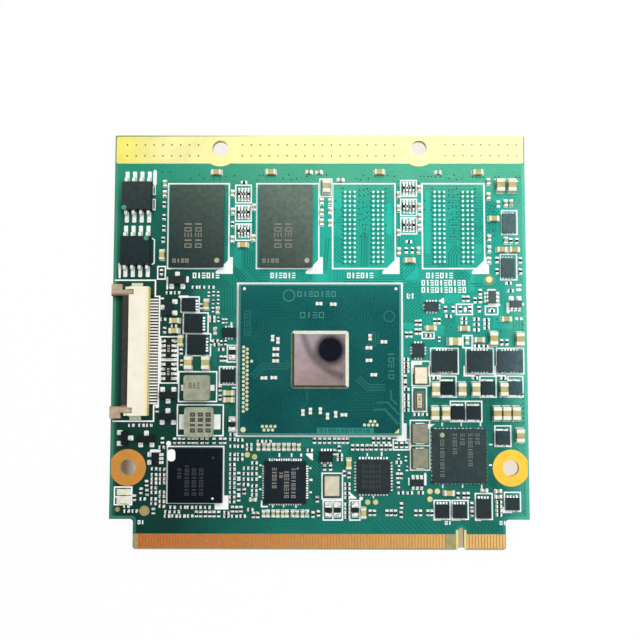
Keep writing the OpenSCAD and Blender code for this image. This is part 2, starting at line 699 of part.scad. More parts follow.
// Solder land under the edge of a leadless body, which runs up its side and out along +Y
module land(w, out) {
    rise = qfn_h * 0.25;
    rotate([90, 0, 90]) linear_extrude(w, center = true) polygon([
        [-land_in, 0], [out, 0], [out, qfn_gap], [0, rise], [0, qfn_gap], [-land_in, qfn_gap]
    ]);
}

module land_side(n, pitch, out) {
    for (i = [0:n - 1]) translate([(i - (n - 1) / 2) * pitch, 0, 0]) land(pitch * 0.55, out);
}

// Lands on the sides of a body w by l: nx along each X side, ny along each Y side
module lands(w, l, nx, ny, pitch, out) {
    for (turn = [0, 180]) rotate([0, 0, turn]) {
        if (nx > 0) translate([0, l / 2, 0]) land_side(nx, pitch, out);
        if (ny > 0) rotate([0, 0, 90]) translate([0, w / 2, 0]) land_side(ny, pitch, out);
    }
}

// Each leadless chip: place, turn, body width, body depth, lands along X, lands along Y, pitch
bridge_chip = [29.35, 11.15, 0, 7, 7, 14, 14, 0.4];
clock_chip = [44.05, 12.1, 0, 5.7, 5.7, 10, 10, 0.5];
power_manager = [-11.65, 15.5, 0, 9, 9, 13, 13, 0.65];
regulators = [
    [-2.9, -15.3, 0, 2.2, 3.2, 4, 0, 0.5], [-3.15, -22.9, 0, 2.2, 3.2, 4, 0, 0.5],
    [-16.05, 40.5, 0, 2.3, 1.6, 4, 2, 0.5], [12.95, 40.75, 90, 2.2, 2.3, 4, 0, 0.5],
    [13.8, 37.6, 90, 3.1, 3.1, 5, 0, 0.5], [14.35, 34.05, 90, 3.1, 3.1, 5, 0, 0.5],
    [19.7, 28.8, 0, 2.3, 2.2, 4, 0, 0.5], [19.75, 36.1, 0, 2.3, 1.6, 3, 0, 0.5],
    [-14.55, 6.45, 0, 2.2, 2.2, 4, 0, 0.5], [-11.7, 6.45, 0, 2.2, 2.2, 4, 0, 0.5],
    [-7.7, 6.9, 0, 2.3, 3.2, 4, 0, 0.5], [-2.9, 7.65, 0, 2.2, 2, 4, 0, 0.5],
    [-18.35, 33.1, 0, 2, 2.4, 3, 3, 0.5], [36.2, 15.4, 0, 2.2, 1.8, 4, 0, 0.5]
];
power_stages = [
    [-13.95, 31.3, 0, 4.2, 3.5, 6, 0, 0.5], [-8.05, 31.3, 0, 4.2, 3.5, 6, 0, 0.5],
    [-3, 31.3, 0, 4.2, 3.5, 6, 0, 0.5]
];

module leadless_body(p) {
    on_top() at(p) slab(p[3], p[4], qfn_gap, qfn_h);
}

module leadless_lands(p, out = land_out) {
    on_top() at(p) lands(p[3], p[4], p[5], p[6], p[7], out);
}

module bridge_chip_body() {
    color("dimgray") leadless_body(bridge_chip);
}

module bridge_chip_lands() {
    color("silver") leadless_lands(bridge_chip);
}

// The clock chip's corners are cut off at 45 degrees
clock_chip_corner = 0.5;

module clock_chip_body() {
    w = clock_chip[3];
    l = clock_chip[4];
    color("dimgray") on_top() at(clock_chip) intersection() {
        slab(w, l, qfn_gap, qfn_h);
        rotate([0, 0, 45]) slab((w + l) / sqrt(2) - clock_chip_corner * sqrt(2),
            (w + l) / sqrt(2) - clock_chip_corner * sqrt(2), 0, qfn_h + 1);
    }
}

module clock_chip_lands() {
    color("silver") leadless_lands(clock_chip);
}

module power_manager_body() {
    color("dimgray") leadless_body(power_manager);
}

module power_manager_lands() {
    color("silver") leadless_lands(power_manager, flush_land_out);
}

module regulator_bodies() {
    color("dimgray") for (p = regulators) leadless_body(p);
}

module regulator_lands() {
    color("silver") for (p = regulators) leadless_lands(p);
}

module power_stage_bodies() {
    color("dimgray") for (p = power_stages) leadless_body(p);
}

module power_stage_lands() {
    color("silver") for (p = power_stages) leadless_lands(p);
}

// Ball-grid control chip: place, width, depth, thickness of the body, joints along each side
control_chip = [14.4, 12.25];
control_chip_w = 9;
control_chip_t = 0.7;
control_chip_balls_n = 11;

module control_chip_body() {
    color("dimgray") on_top() at(control_chip)
        slab(control_chip_w, control_chip_w, ball_h, ball_h + control_chip_t);
}

module control_chip_balls() {
    color("silver") on_top() at(control_chip)
        outer_rings(control_chip_balls_n, control_chip_balls_n, ball_pitch) solder_ball(ball_h);
}

// Chip components

cap_wrap = 0.03;
chip_gap = 0.03;

module chip_body(size) {
    inner = size[0] * (1 - 2 * size[3]);
    slab(inner, size[1], chip_gap, size[2]);
}

// End caps wrap the body and have a solder fillet at the foot
module chip_ends(size) {
    cap = size[0] * size[3];
    rise = size[2] * 0.6;
    for (turn = [0, 180]) rotate([0, 0, turn]) translate([size[0] / 2, 0, 0])
        rotate([90, 0, 0]) linear_extrude(size[1] + 2 * cap_wrap, center = true) polygon([
            [-cap, 0], [size[0] * fillet_share, 0], [0, rise], [0, size[2] + cap_wrap],
            [-cap, size[2] + cap_wrap]
        ]);
}

module chip_bodies(places, size) {
    on_top() for (p = places) at(p) chip_body(size);
}

module chip_end_pairs(places, size) {
    on_top() for (p = places) at(p) chip_ends(size);
}

module large_capacitor_bodies() {
    color("burlywood") chip_bodies(large_places, large);
}

module large_capacitor_ends() {
    color("silver") chip_end_pairs(large_places, large);
}

module medium_capacitor_bodies() {
    color("burlywood") chip_bodies(medium_places, medium);
}

module medium_capacitor_ends() {
    color("silver") chip_end_pairs(medium_places, medium);
}

module small_capacitor_bodies() {
    color("burlywood") chip_bodies(small_places, small);
}

module small_capacitor_ends() {
    color("silver") chip_end_pairs(small_places, small);
}

module resistor_bodies() {
    color("dimgray") {
        chip_bodies(resistor_places, tiny);
        chip_bodies(big_resistor_places, big_resistor);
    }
}

module resistor_ends() {
    color("silver") {
        chip_end_pairs(resistor_places, tiny);
        chip_end_pairs(big_resistor_places, big_resistor);
    }
}

// Arrays: the terminals stand in recesses along both long sides
array_elements = 4;
array_recess = 0.3;
array_reach = 0.48;

module array_shape(p, h) {
    w = array_elements * p[3];
    difference() {
        slab(w, p[4], chip_gap, h);
        array_slots(p, h);
    }
}

module array_slots(p, h) {
    for (side = [-1, 1], i = [0:array_elements - 1])
        translate([(i - (array_elements - 1) / 2) * p[3], side * p[4] / 2, 0])
            slab(p[3] * 0.55, 2 * array_recess, 0, h + 1);
}

module array_bodies() {
    color("dimgray") on_top() for (p = array_places) at(p) array_shape(p, small_h);
}

module array_ends() {
    color("silver") on_top() for (p = array_places) at(p)
        for (side = [0, 180], i = [0:array_elements - 1]) rotate([0, 0, side])
            translate([(i - (array_elements - 1) / 2) * p[3], p[4] / 2, 0])
                rotate([90, 0, 90]) linear_extrude(p[3] * 0.55, center = true) polygon([
                    [-array_recess, 0], [array_reach, 0], [0.05, small_h * 0.6], [0.02, small_h],
                    [-array_recess, small_h]
                ]);
}

// Light-emitting diodes
led_places = [[2.4, 9.45, H], [2.4, 8.05, H]];
led = [1.95, 1, 0.3, 0.25];
led_h = 0.6;

// White base with a lens moulded on its middle
module led_bodies() {
    color("ivory") on_top() for (p = led_places) at(p) {
        chip_body(led);
        slab(led[0] * (1 - 2 * led[3]) - 0.1, led[1] - 0.1, led[2] - 0.05, led_h);
    }
}

module led_terminals() {
    color("khaki") chip_end_pairs(led_places, led);
}

// Wound parts

// Large chokes: place, body width, body depth, corner rounding, terminal depth, reach beyond the body
chokes = [
    [14.6, 26.8, 4.3, 4.15, 0.4, 1, 0.65], [15, 21.1, 4.75, 4.95, 0.5, 2.5, 1.1]
];
choke_terminal_t = 0.25;

module choke_bodies() {
    color("darkgray") on_top() for (c = chokes) at([c[0], c[1]])
        translate([-c[2] / 2, -c[3] / 2, choke_terminal_t])
            linear_extrude(choke_h - choke_terminal_t) rounded(c[2], c[3], c[4]);
}

module choke_terminals() {
    color("silver") on_top() for (c = chokes, turn = [0, 180]) at([c[0], c[1], turn])
        translate([c[2] / 2 - 1, -c[5] / 2, 0]) cube([1 + c[6], c[5], choke_terminal_t]);
}

inductor_places = [
    [-13.55, 26.8], [-6.8, 26.8], [-2.25, 26.8], [-11.85, 22.7], [-9.2, 22.7], [-4.4, 18.55]
];
inductor_pad_t = 0.12;
inductor_foot = 0.3;
inductor_corner_r = 0.15;

module power_inductor_bodies() {
    color("dimgray") on_top() for (p = inductor_places) at(p)
        translate([-inductor_w / 2, -inductor_l / 2, inductor_pad_t])
            linear_extrude(inductor_h - inductor_pad_t)
                rounded(inductor_w, inductor_l, inductor_corner_r);
}

module power_inductor_ends() {
    pad_l = inductor_l * 0.3 + inductor_foot;
    color("silver") on_top() for (p = inductor_places, side = [-1, 1]) at(p)
        translate([0, side * (inductor_l / 2 - pad_l / 2 + inductor_foot), 0])
            slab(inductor_w - 0.3, pad_l, 0, inductor_pad_t);
}

ferrite_places = [[-18.2, 19.25], [-18.2, 15.15]];

ferrite_terminal_w = 1.5;
ferrite_terminal_t = 0.15;
ferrite_recess_r = 2;

// The two short sides are hollowed by an arc where the terminals stand
module ferrite_bodies() {
    color("gray") on_top() for (p = ferrite_places) at(p) difference() {
        slab(ferrite_w, ferrite_l, ferrite_terminal_t, ferrite_h);
        for (side = [-1, 1])
            translate([0, side * (ferrite_l / 2 + ferrite_recess_r - ferrite_terminal_t), 0])
                cylinder(r = ferrite_recess_r, h = 2 * ferrite_h);
    }
}

// Each terminal stands in the recess and turns in under the body
module ferrite_ends() {
    color("silver") on_top() for (p = ferrite_places, turn = [0, 180]) at([p[0], p[1], turn])
        translate([-ferrite_terminal_w / 2, 0, 0]) {
            translate([0, ferrite_l / 2, 0])
                cube([ferrite_terminal_w, ferrite_terminal_t, ferrite_h * 0.6]);
            translate([0, ferrite_l * 0.3, 0])
                cube([ferrite_terminal_w, ferrite_l * 0.2 + ferrite_terminal_t, ferrite_terminal_t]);
        }
}

// Crystals and oscillators: place, width, depth, rim left bare round the lid
oscillators = [
    [37.15, 10.55, 2.7, 3.5, 0.15], [-17.95, 28.9, 2.3, 3, 0.15], [-18.25, 24.7, 1.6, 3.2, 0.45]
];
oscillator_base_t = 0.55;
oscillator_lid_t = 0.3;
oscillator_corner_r = 0.2;

module oscillator_bases() {
    color("darkkhaki") on_top() for (p = oscillators) at([p[0], p[1]]) difference() {
        slab(p[2], p[3], 0, oscillator_base_t);
        for (x = [-1, 1], y = [-1, 1]) translate([x * p[2] / 2, y * p[3] / 2, 0])
            cylinder(r = oscillator_corner_r, h = 3 * oscillator_base_t, center = true);
    }
}

module oscillator_lids() {
    color("antiquewhite") on_top() for (p = oscillators) at([p[0], p[1]])
        slab(p[2] - 2 * p[4], p[3] - 2 * p[4], oscillator_base_t,
            oscillator_base_t + oscillator_lid_t);
}

// Flat-cable connector, drawn with its slide lock facing -X and its middle on the X axis

ffc_x = 3.1;
ffc_y = 32.95;
ffc_row = (ffc_contacts_n - 1) * ffc_pitch;
ffc_w = ffc_row + 2 * ffc_end;
slot_l = ffc_l * 0.72;
slot_w = ffc_row + 1.1;
slot_low = ffc_floor;
slot_high = ffc_h - ffc_roof;
contact_pocket = ffc_contact_w + 0.06;
contact_t = 0.15;
contact_arm = [0.6, 0.7];
arm_w = 0.75;
arm_l = 1.5;
arm_t = slot_high - slot_low - 2 * slide_gap;
arm_y = slot_w / 2 + slide_gap + arm_w / 2 + 0.15;
ear_w = 2;
ear_t = 1.25;
ear_low = 0.15;
ear_inner = slot_w / 2 - 0.05;
ear_l = 1.75;
shoulder_w = arm_y + arm_w / 2 - ear_inner;
flange_l = 0.7;
flange_w = 0.45;
tongue_t = 0.4;
tongue_l = 1.7;

module at_ffc() {
    on_top() at([ffc_x, ffc_y]) children();
}

module across_contacts() {
    for (i = [0:ffc_contacts_n - 1]) translate([0, (i - (ffc_contacts_n - 1) / 2) * ffc_pitch, 0])
        children();
}

module ffc_housing() {
    color("cornsilk") at_ffc() difference() {
        union() {
            translate([0, -ffc_w / 2, 0]) cube([ffc_l, ffc_w, ffc_h]);
            for (side = [-1, 1]) translate([-flange_l, side * (ffc_w - flange_w) / 2 - flange_w / 2, 0])
                cube([flange_l + 0.1, flange_w, ffc_h * 0.7]);
        }
        // Slot for the cable and the tongue of the slide lock
        translate([-1, -slot_w / 2, slot_low]) cube([slot_l + 1, slot_w, slot_high - slot_low]);
        // Pockets for the two arms of the slide lock, open above near the mouth
        for (side = [-1, 1]) translate([-1, side * arm_y - arm_w / 2 - slide_gap, slot_low]) {
            cube([arm_l + 1 + slide_gap, arm_w + 2 * slide_gap, slot_high - slot_low]);
            cube([1.8, arm_w + 2 * slide_gap, ffc_h]);
        }
        // Pockets for the contacts, open below and behind
        across_contacts() translate([slot_l - 0.3, -contact_pocket / 2, -1])
            cube([ffc_l, contact_pocket, 1 + contact_arm[1] + 0.15]);
    }
}

module ffc_slider() {
    tongue_high = slot_high - slide_gap;
    color("sienna") at_ffc() {
        // Bar along the mouth of the housing, with the tongue that presses on the cable
        translate([-slide_bar, -ear_inner, slot_low + slide_gap])
            cube([slide_bar - slide_gap, 2 * ear_inner, tongue_high - slot_low - slide_gap]);
        translate([-slide_bar, slide_gap - slot_w / 2, tongue_high - tongue_t])
            cube([slide_bar + tongue_l, slot_w - 2 * slide_gap, tongue_t]);
        for (side = [-1, 1]) {
            // Ear at each end, for a finger nail
            translate([-slide_ear, side * (ear_inner + ear_w / 2) - ear_w / 2, ear_low])
                cube([ear_l, ear_w, ear_t]);
            // Shoulder that joins the ear to the bar
            translate([
                ear_l / 2 - slide_ear, side * (ear_inner + shoulder_w / 2) - shoulder_w / 2,
                slot_low + slide_gap
            ]) cube([slide_ear - ear_l / 2 - slide_gap, shoulder_w, arm_t]);
            // Arm that runs from the shoulder into the housing beside the slot
            translate([-slide_bar, side * arm_y - arm_w / 2, slot_low + slide_gap])
                cube([slide_bar + arm_l, arm_w, arm_t]);
        }
    }
}

module ffc_contacts() {
    riser_x = slot_l - 0.25;
    riser_t = 0.2;
    color("silver") at_ffc() across_contacts() rotate([90, 0, 0])
        linear_extrude(ffc_contact_w, center = true) polygon([
            [riser_x, 0], [ffc_l + ffc_tail, 0], [ffc_l + ffc_tail, contact_t],
            [riser_x + riser_t, contact_t], [riser_x + riser_t, contact_arm[1]],
            [contact_arm[0], contact_arm[1]], [contact_arm[0], slot_low],
            [riser_x, slot_low]
        ]);
}

solder_tab_l = 1.9;
solder_tab_w = 0.75;
solder_tab_t = 0.15;
solder_tab_inset = 0.1;

module ffc_solder_tabs() {
    color("darkkhaki") at_ffc() for (flip = [0, 1]) mirror([0, flip, 0])
        translate([solder_tab_inset, ffc_w / 2, 0]) {
            cube([solder_tab_l, solder_tab_w, solder_tab_t]);
            cube([solder_tab_l, solder_tab_t, ffc_h * 0.6]);
        }
}

// Underside: capacitors under the processor and the memory chips, and taller ones towards the
// corners, on which the module lies level
under_small_places = concat(
    [for (x = [30.1:2:40.1], y = [27:2.2:36]) [x, y, V]],
    [for (x = [memory_left_x, memory_right_x], y = [-21:3.4:-10]) [x, y, H]]
);
under_tall_places = [
    [8, 20, V], [8, -13, V], [22, -18, V], [48, -13, V], [-8, -13, V], [-8, 20, V], [22, 22, V],
    [48, 22, V]
];

module underside_capacitor_bodies() {
    color("burlywood") underneath() {
        for (p = under_small_places) at(p) chip_body(small);
        for (p = under_tall_places) at(p) chip_body(large);
    }
}

module underside_capacitor_ends() {
    color("silver") underneath() {
        for (p = under_small_places) at(p) chip_ends(small);
        for (p = under_tall_places) at(p) chip_ends(large);
    }
}

circuit_board();
edge_contacts_top();
edge_contacts_underside();
thermal_strip_top();
thermal_strip_underside();
mounting_rings_top();
mounting_rings_underside();
bare_pads();
cpu_substrate();
cpu_die();
cpu_underfill();
cpu_capacitor_bodies();
cpu_capacitor_ends();
cpu_contact_dots();
cpu_solder_balls();
memory_chip_left();
memory_chip_right();
memory_solder_balls();
flash_chip_bodies();
flash_chip_leads();
ffc_housing();
ffc_slider();
ffc_contacts();
ffc_solder_tabs();
choke_bodies();
choke_terminals();
power_inductor_bodies();
power_inductor_ends();
ferrite_bodies();
ferrite_ends();
oscillator_bases();
oscillator_lids();
control_chip_body();
control_chip_balls();
bridge_chip_body();
bridge_chip_lands();
clock_chip_body();
clock_chip_lands();
power_manager_body();
power_manager_lands();
regulator_bodies();
regulator_lands();
power_stage_bodies();
power_stage_lands();
transistor_bodies();
transistor_leads();
large_capacitor_bodies();
large_capacitor_ends();
medium_capacitor_bodies();
medium_capacitor_ends();
small_capacitor_bodies();
small_capacitor_ends();
resistor_bodies();
resistor_ends();
array_bodies();
array_ends();
led_bodies();
led_terminals();
underside_capacitor_bodies();
underside_capacitor_ends();
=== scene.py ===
"""Looks, print and light for the processor module. Places are in millimetres from the board's lower left
corner, seen from the component side, and heights are in millimetres above the face that a piece lies on."""

import bpy
import bmesh
import json
import math
from mathutils import Matrix, Vector


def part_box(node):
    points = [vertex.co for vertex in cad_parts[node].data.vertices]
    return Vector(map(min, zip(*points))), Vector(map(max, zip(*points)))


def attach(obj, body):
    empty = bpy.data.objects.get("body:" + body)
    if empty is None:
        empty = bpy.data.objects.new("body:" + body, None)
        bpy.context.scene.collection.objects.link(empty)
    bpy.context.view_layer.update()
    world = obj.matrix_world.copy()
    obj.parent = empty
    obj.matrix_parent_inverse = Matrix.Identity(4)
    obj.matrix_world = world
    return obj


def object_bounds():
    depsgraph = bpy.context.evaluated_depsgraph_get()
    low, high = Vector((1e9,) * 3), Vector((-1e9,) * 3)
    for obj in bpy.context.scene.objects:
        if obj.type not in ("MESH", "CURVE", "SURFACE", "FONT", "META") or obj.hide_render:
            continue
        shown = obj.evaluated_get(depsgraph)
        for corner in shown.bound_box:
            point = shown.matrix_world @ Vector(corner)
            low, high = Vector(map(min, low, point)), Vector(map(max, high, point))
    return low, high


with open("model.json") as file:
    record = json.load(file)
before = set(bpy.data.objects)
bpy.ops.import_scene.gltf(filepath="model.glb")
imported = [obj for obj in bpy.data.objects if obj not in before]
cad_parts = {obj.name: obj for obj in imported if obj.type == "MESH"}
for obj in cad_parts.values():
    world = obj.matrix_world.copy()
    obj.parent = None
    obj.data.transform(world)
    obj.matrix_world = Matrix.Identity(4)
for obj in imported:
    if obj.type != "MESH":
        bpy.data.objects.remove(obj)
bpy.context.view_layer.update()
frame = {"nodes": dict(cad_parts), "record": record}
nodes = frame["nodes"]

MM = 0.001
BODY = "module"
board_low, board_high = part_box("circuit_board")


def on_board(x, y, z=0.0):
    """A place on the component side, in metres."""
    return Vector((board_low.x + x * MM, board_low.y + y * MM, board_high.z + z * MM))


def add_object(name, data):
    thing = bpy.data.objects.new(name, data)
    bpy.context.scene.collection.objects.link(thing)
    return thing


def add_mesh(name, mesh, look):
    """An object made of a finished bmesh, in one material."""
    data = bpy.data.meshes.new(name)
    mesh.to_mesh(data)
    mesh.free()
    data.materials.append(look)
    return add_object(name, data)


# Camera
PICTURE = 640  # pixels along each side of the photograph
FOCAL_PIXELS = 949.6
SENSOR = 36.0  # its width, in mm
CAMERA_PLACE = (36.12, 26.02, 160.0)
CAMERA_TURN = (0.07632, 0.00618, 0.00125)


def make_camera():
    data = bpy.data.cameras.new("camera")
    data.sensor_width = SENSOR
    data.lens = FOCAL_PIXELS * SENSOR / PICTURE
    data.clip_start, data.clip_end = 0.005, 20.0
    cam = add_object("camera", data)
    rx, ry, rz = CAMERA_TURN
    turn = Matrix.Rotation(rz, 4, "Z") @ Matrix.Rotation(ry, 4, "Y") @ Matrix.Rotation(rx, 4, "X")
    cam.matrix_world = Matrix.Translation(on_board(*CAMERA_PLACE)) @ turn
    bpy.context.scene.camera = cam


make_camera()


# Materials
BAND = (0.3, 0.7)  # noise up to the first gives one end of a blend, from the second on the other
TRACK_WAYS = 4  # directions that a field of tracks can have


class Graph:
    """The nodes of a material or of the world."""

    def __init__(self, owner):
        owner.use_nodes = True
        self.tree = owner.node_tree
        self.tree.nodes.clear()

    def add(self, kind, **settings):
        """A new node. The names with a capital letter are its sockets, the others its settings."""
        node = self.tree.nodes.new(kind)
        for key, value in settings.items():
            if key[0].isupper():
                self.put(node.inputs[key.replace("_", " ")], value)
            else:
                setattr(node, key, value)
        return node

    def link(self, a, b):
        self.tree.links.new(a, b)

    def put(self, socket, value):
        if isinstance(value, bpy.types.NodeSocket):
            self.link(value, socket)
        else:
            socket.default_value = value

    def math(self, operation, a, b=0.0):
        node = self.add("ShaderNodeMath", operation=operation)
        self.put(node.inputs[0], a)
        self.put(node.inputs[1], b)
        return node.outputs[0]

    def ramp(self, value, low, high, to_low=0.0, to_high=1.0):
        node = self.add("ShaderNodeMapRange", Value=value, From_Min=low, From_Max=high, To_Min=to_low,
                        To_Max=to_high)
        return node.outputs[0]

    def split(self, vector):
        """The X, Y and Z of a vector."""
        return self.add("ShaderNodeSeparateXYZ", Vector=vector).outputs

    def blend(self, factor, a, b):
        """Shader a where factor is 0 and b where it is 1."""
        node = self.add("ShaderNodeMixShader")
        self.put(node.inputs[0], factor)
        self.link(a, node.inputs[1])
        self.link(b, node.inputs[2])
        return node.outputs[0]


class Look(Graph):
    """A node material built round one Principled shader."""

    def __init__(self, name, roughness=0.5, metallic=0.0, **sockets):
        self.material = bpy.data.materials.new(name)
        super().__init__(self.material)
        self.shader = self.add("ShaderNodeBsdfPrincipled", Roughness=roughness, Metallic=metallic, **sockets)
        self.end = self.add("ShaderNodeOutputMaterial")
        self.show(self.shader.outputs["BSDF"])
        self.place = self.add("ShaderNodeTexCoord").outputs["Object"]
        self.axes = self.split(self.place)

    def show(self, shader):
        self.link(shader, self.end.inputs["Surface"])

    def noise(self, size, detail=3.0, rough=0.55):
        """Noise whose blotches are about size mm across."""
        node = self.add("ShaderNodeTexNoise", Vector=self.place, Scale=1.0 / (size * MM), Detail=detail,
                        Roughness=rough)
        return node.outputs["Fac"]

    def blotch(self, size, low=0.0, high=1.0, detail=3.0):
        """Blotches about size mm across, each between low and high."""
        return self.ramp(self.noise(size, detail), *BAND, low, high)

    def cells(self, size, **settings):
        """Colour and distance of cells about size mm across, which run straight down through the object."""
        return self.add("ShaderNodeTexVoronoi", voronoi_dimensions="2D", Vector=self.place,
                        Scale=1.0 / (size * MM), **settings).outputs

    def facing(self):
        """The way that the surface faces."""
        return self.split(self.add("ShaderNodeNewGeometry").outputs["Normal"])

    def along(self, axis, low, high, start=0.0, end=1.0):
        """From start at low to end at high, in board millimetres along X or Y."""
        zero = board_low.x if axis == "X" else board_low.y
        return self.ramp(self.axes[axis], zero + low * MM, zero + high * MM, start, end)

    def lean(self, x, y):
        """A weighted sum of the board millimetres along X and Y."""
        across = self.math("MULTIPLY", self.math("SUBTRACT", self.axes["X"], board_low.x), x / MM)
        up = self.math("MULTIPLY", self.math("SUBTRACT", self.axes["Y"], board_low.y), y / MM)
        return self.math("ADD", across, up)

    def sheen(self, x, y, start, end):
        """0 at one place and 1 at another, and rising ever faster along the way from the one to the other."""
        low, high = (math.exp(x * place[0] + y * place[1]) for place in (start, end))
        return self.ramp(self.math("EXPONENT", self.lean(x, y)), low, high)

    def tracks(self, cell, pitch, bare, strength):
        """Fields of parallel tracks: each cell has its own direction, and a share of them, bare, has none."""
        tint = self.cells(cell, distance="CHEBYCHEV")["Color"]
        kind = self.add("ShaderNodeSeparateColor", Color=tint).outputs
        way = self.math("FLOOR", self.math("MULTIPLY", kind[0], TRACK_WAYS))
        turn = self.math("MULTIPLY", way, math.pi / TRACK_WAYS)
        run = self.math("ADD", self.math("MULTIPLY", self.axes["X"], self.math("COSINE", turn)),
                        self.math("MULTIPLY", self.axes["Y"], self.math("SINE", turn)))
        wave = self.math("SINE", self.math("MULTIPLY", run, 2 * math.pi / (pitch * MM)))
        shown = self.ramp(kind[1], bare - 0.01, bare + 0.01, 0.0, strength)
        return self.math("MULTIPLY", self.ramp(wave, 0.1, 0.7), shown)

    def mix(self, factor, a, b):
        """Colour a where factor is 0 and b where it is 1."""
        node = self.add("ShaderNodeMix", data_type="RGBA")
        self.put(node.inputs[0], factor)
        self.put(node.inputs[6], a if isinstance(a, bpy.types.NodeSocket) else (*a, 1))
        self.put(node.inputs[7], b if isinstance(b, bpy.types.NodeSocket) else (*b, 1))
        return node.outputs[2]

    def colour(self, value):
        self.put(self.shader.inputs["Base Color"], value)

    def fade(self, axis, low, high, a, b):
        """Colour a up to low and b from high on, along X or Y."""
        return self.mix(self.along(axis, low, high), a, b)

    def shade(self, value, gain):
        """The shader's colour, made lighter or darker by gain."""
        self.colour(self.add("ShaderNodeVectorMath", operation="SCALE", Vector=value, Scale=gain).outputs[0])

    def gloss(self, size, low, high, detail=3.0):
        self.link(self.blotch(size, low, high, detail), self.shader.inputs["Roughness"])

    def bump(self, height, strength, depth):
        node = self.add("ShaderNodeBump", Strength=strength, Distance=depth * MM, Height=height)
        self.link(node.outputs[0], self.shader.inputs["Normal"])

    def grain(self, size, rough, depth):
        """Fine grain in the gloss and in the surface."""
        fine = self.noise(size, detail=2.0)
        self.link(self.ramp(fine, *BAND, *rough), self.shader.inputs["Roughness"])
        self.bump(fine, 0.6, depth)


def mottled(name, dark, light, size=0.6, rough=(0.4, 0.6), metallic=0.0, grain=0.12, depth=0.01, **sockets):
    """Two close colours in blotches, with fine grain in the gloss and the surface."""
    look = Look(name, metallic=metallic, **sockets)
    look.colour(look.mix(look.blotch(size), dark, light))
    look.grain(grain, rough, depth)
    return look.material


def scaled(colour, gain):
    return tuple(channel * gain for channel in colour)


# Greens of the mask over copper, darkened by painted shade at the lower left and lightened by painted light
# at the upper right
DEEP, BRIGHT = (0.01, 0.055, 0.041), (0.017, 0.297, 0.228)
TOP_LEFT, TOP_RIGHT, SIDE = (0.022, 0.245, 0.153), (0.054, 0.28, 0.18), (0.048, 0.262, 0.195)


def mask_tone(look, gain=1.0):
    """The green of the mask over copper, with painted shade and light: deep in painted shade at the lower
    left, bright in painted light at the upper right, palest near the thermal edge and the right side."""
    blotch = look.blotch(6.0, -0.04, 0.04, detail=1.0)
    across = look.math("ADD", look.along("X", 11.0, 17.0, 0.0, 0.48), look.along("X", 17.0, 30.0, 0.0, 0.52))
    across = look.math("SUBTRACT", across, look.along("X", 42.0, 60.0, 0.0, 0.24))
    up = look.math("ADD", look.along("Y", 24.0, 39.0, 0.42, 1.0), look.along("Y", 4.5, 6.0, 0.16, 0.0))
    left = look.math("MULTIPLY", look.along("X", 12.0, 22.0, 0.26, 0.0), look.along("Y", 44.0, 55.0))
    # rise carries the painted shade and light from the deep green to the bright one
    rise = look.math("ADD", look.math("MULTIPLY", across, up), look.math("ADD", blotch, left))
    tone = look.mix(rise, scaled(DEEP, gain), scaled(BRIGHT, gain))
    top = look.fade("X", 6.0, 28.0, scaled(TOP_LEFT, gain), scaled(TOP_RIGHT, gain))
    tone = look.fade("X", 65.5, 68.5, tone, scaled(SIDE, gain))
    return look.fade("Y", 58.0, 62.5, tone, top)


def board_look():
    """Green mask over copper, with painted shade and light, where tracks show as lighter bands between darker
    gaps. The cut edges are the laminate's own colour."""
    look = Look("board_mask", metallic=0.9, Specular_IOR_Level=0.3)
    copper = mask_tone(look)
    gap = look.tracks(3.4, 0.48, 0.39, 0.34)
    gap = look.math("MULTIPLY", gap, look.along("Y", 60.5, 62.5, 1.0, 0.35))
    face = look.mix(gap, copper, (0.003, 0.06, 0.044))
    face = look.mix(look.along("X", 0.1, 1.2, 0.85, 0.0), face, (0.045, 0.24, 0.13))
    top_rim = look.fade("X", 3.0, 24.0, (0.1, 0.19, 0.1), (0.52, 0.52, 0.34))
    face = look.fade("Y", 69.74, 69.8, face, top_rim)
    upright = look.ramp(look.math("ABSOLUTE", look.facing()["Z"]), 0.9, 0.97, 1.0, 0.0)
    cut = look.mix(look.ramp(look.noise(0.25), 0.35, 0.65), (0.4, 0.38, 0.2), (0.57, 0.53, 0.33))
    look.colour(look.mix(upright, face, cut))
    look.link(look.ramp(upright, 0.0, 1.0, 0.9, 0.0), look.shader.inputs["Metallic"])
    look.gloss(0.4, 0.4, 0.52)
    look.bump(look.math("SUBTRACT", look.noise(0.5), look.math("MULTIPLY", gap, 0.8)), 0.3, 0.012)
    return look.material


def mask_look(name, gain, left=None):
    """The mask's green with the painted shade and light of mask_tone, lighter or darker than round it, with a
    tone of its own at the left side if given.
    """
    look = Look(name, metallic=0.9, Specular_IOR_Level=0.3)
    tone = mask_tone(look, gain)
    look.colour(look.fade("X", 2.0, 10.0, left, tone) if left else tone)
    look.gloss(0.4, 0.4, 0.52)
    return look.material


def mould_look(name, near, far, slope=(0.0226, 0.018), start=(0.0, 0.0), end=(70.0, 70.0), rough=(0.35, 0.5),
               specular=0.12):
    """Moulded resin with a faint blue painted sheen in its base colour, which grows from one place of the
    board to another.
    """
    look = Look(name, Specular_IOR_Level=specular)
    # painted sheen: the base colour goes from near to far along the sheen ramp
    look.shade(look.mix(look.sheen(*slope, start, end), near, far), look.blotch(0.8, 0.8, 1.2))
    look.grain(0.08, rough, 0.02)
    return look.material


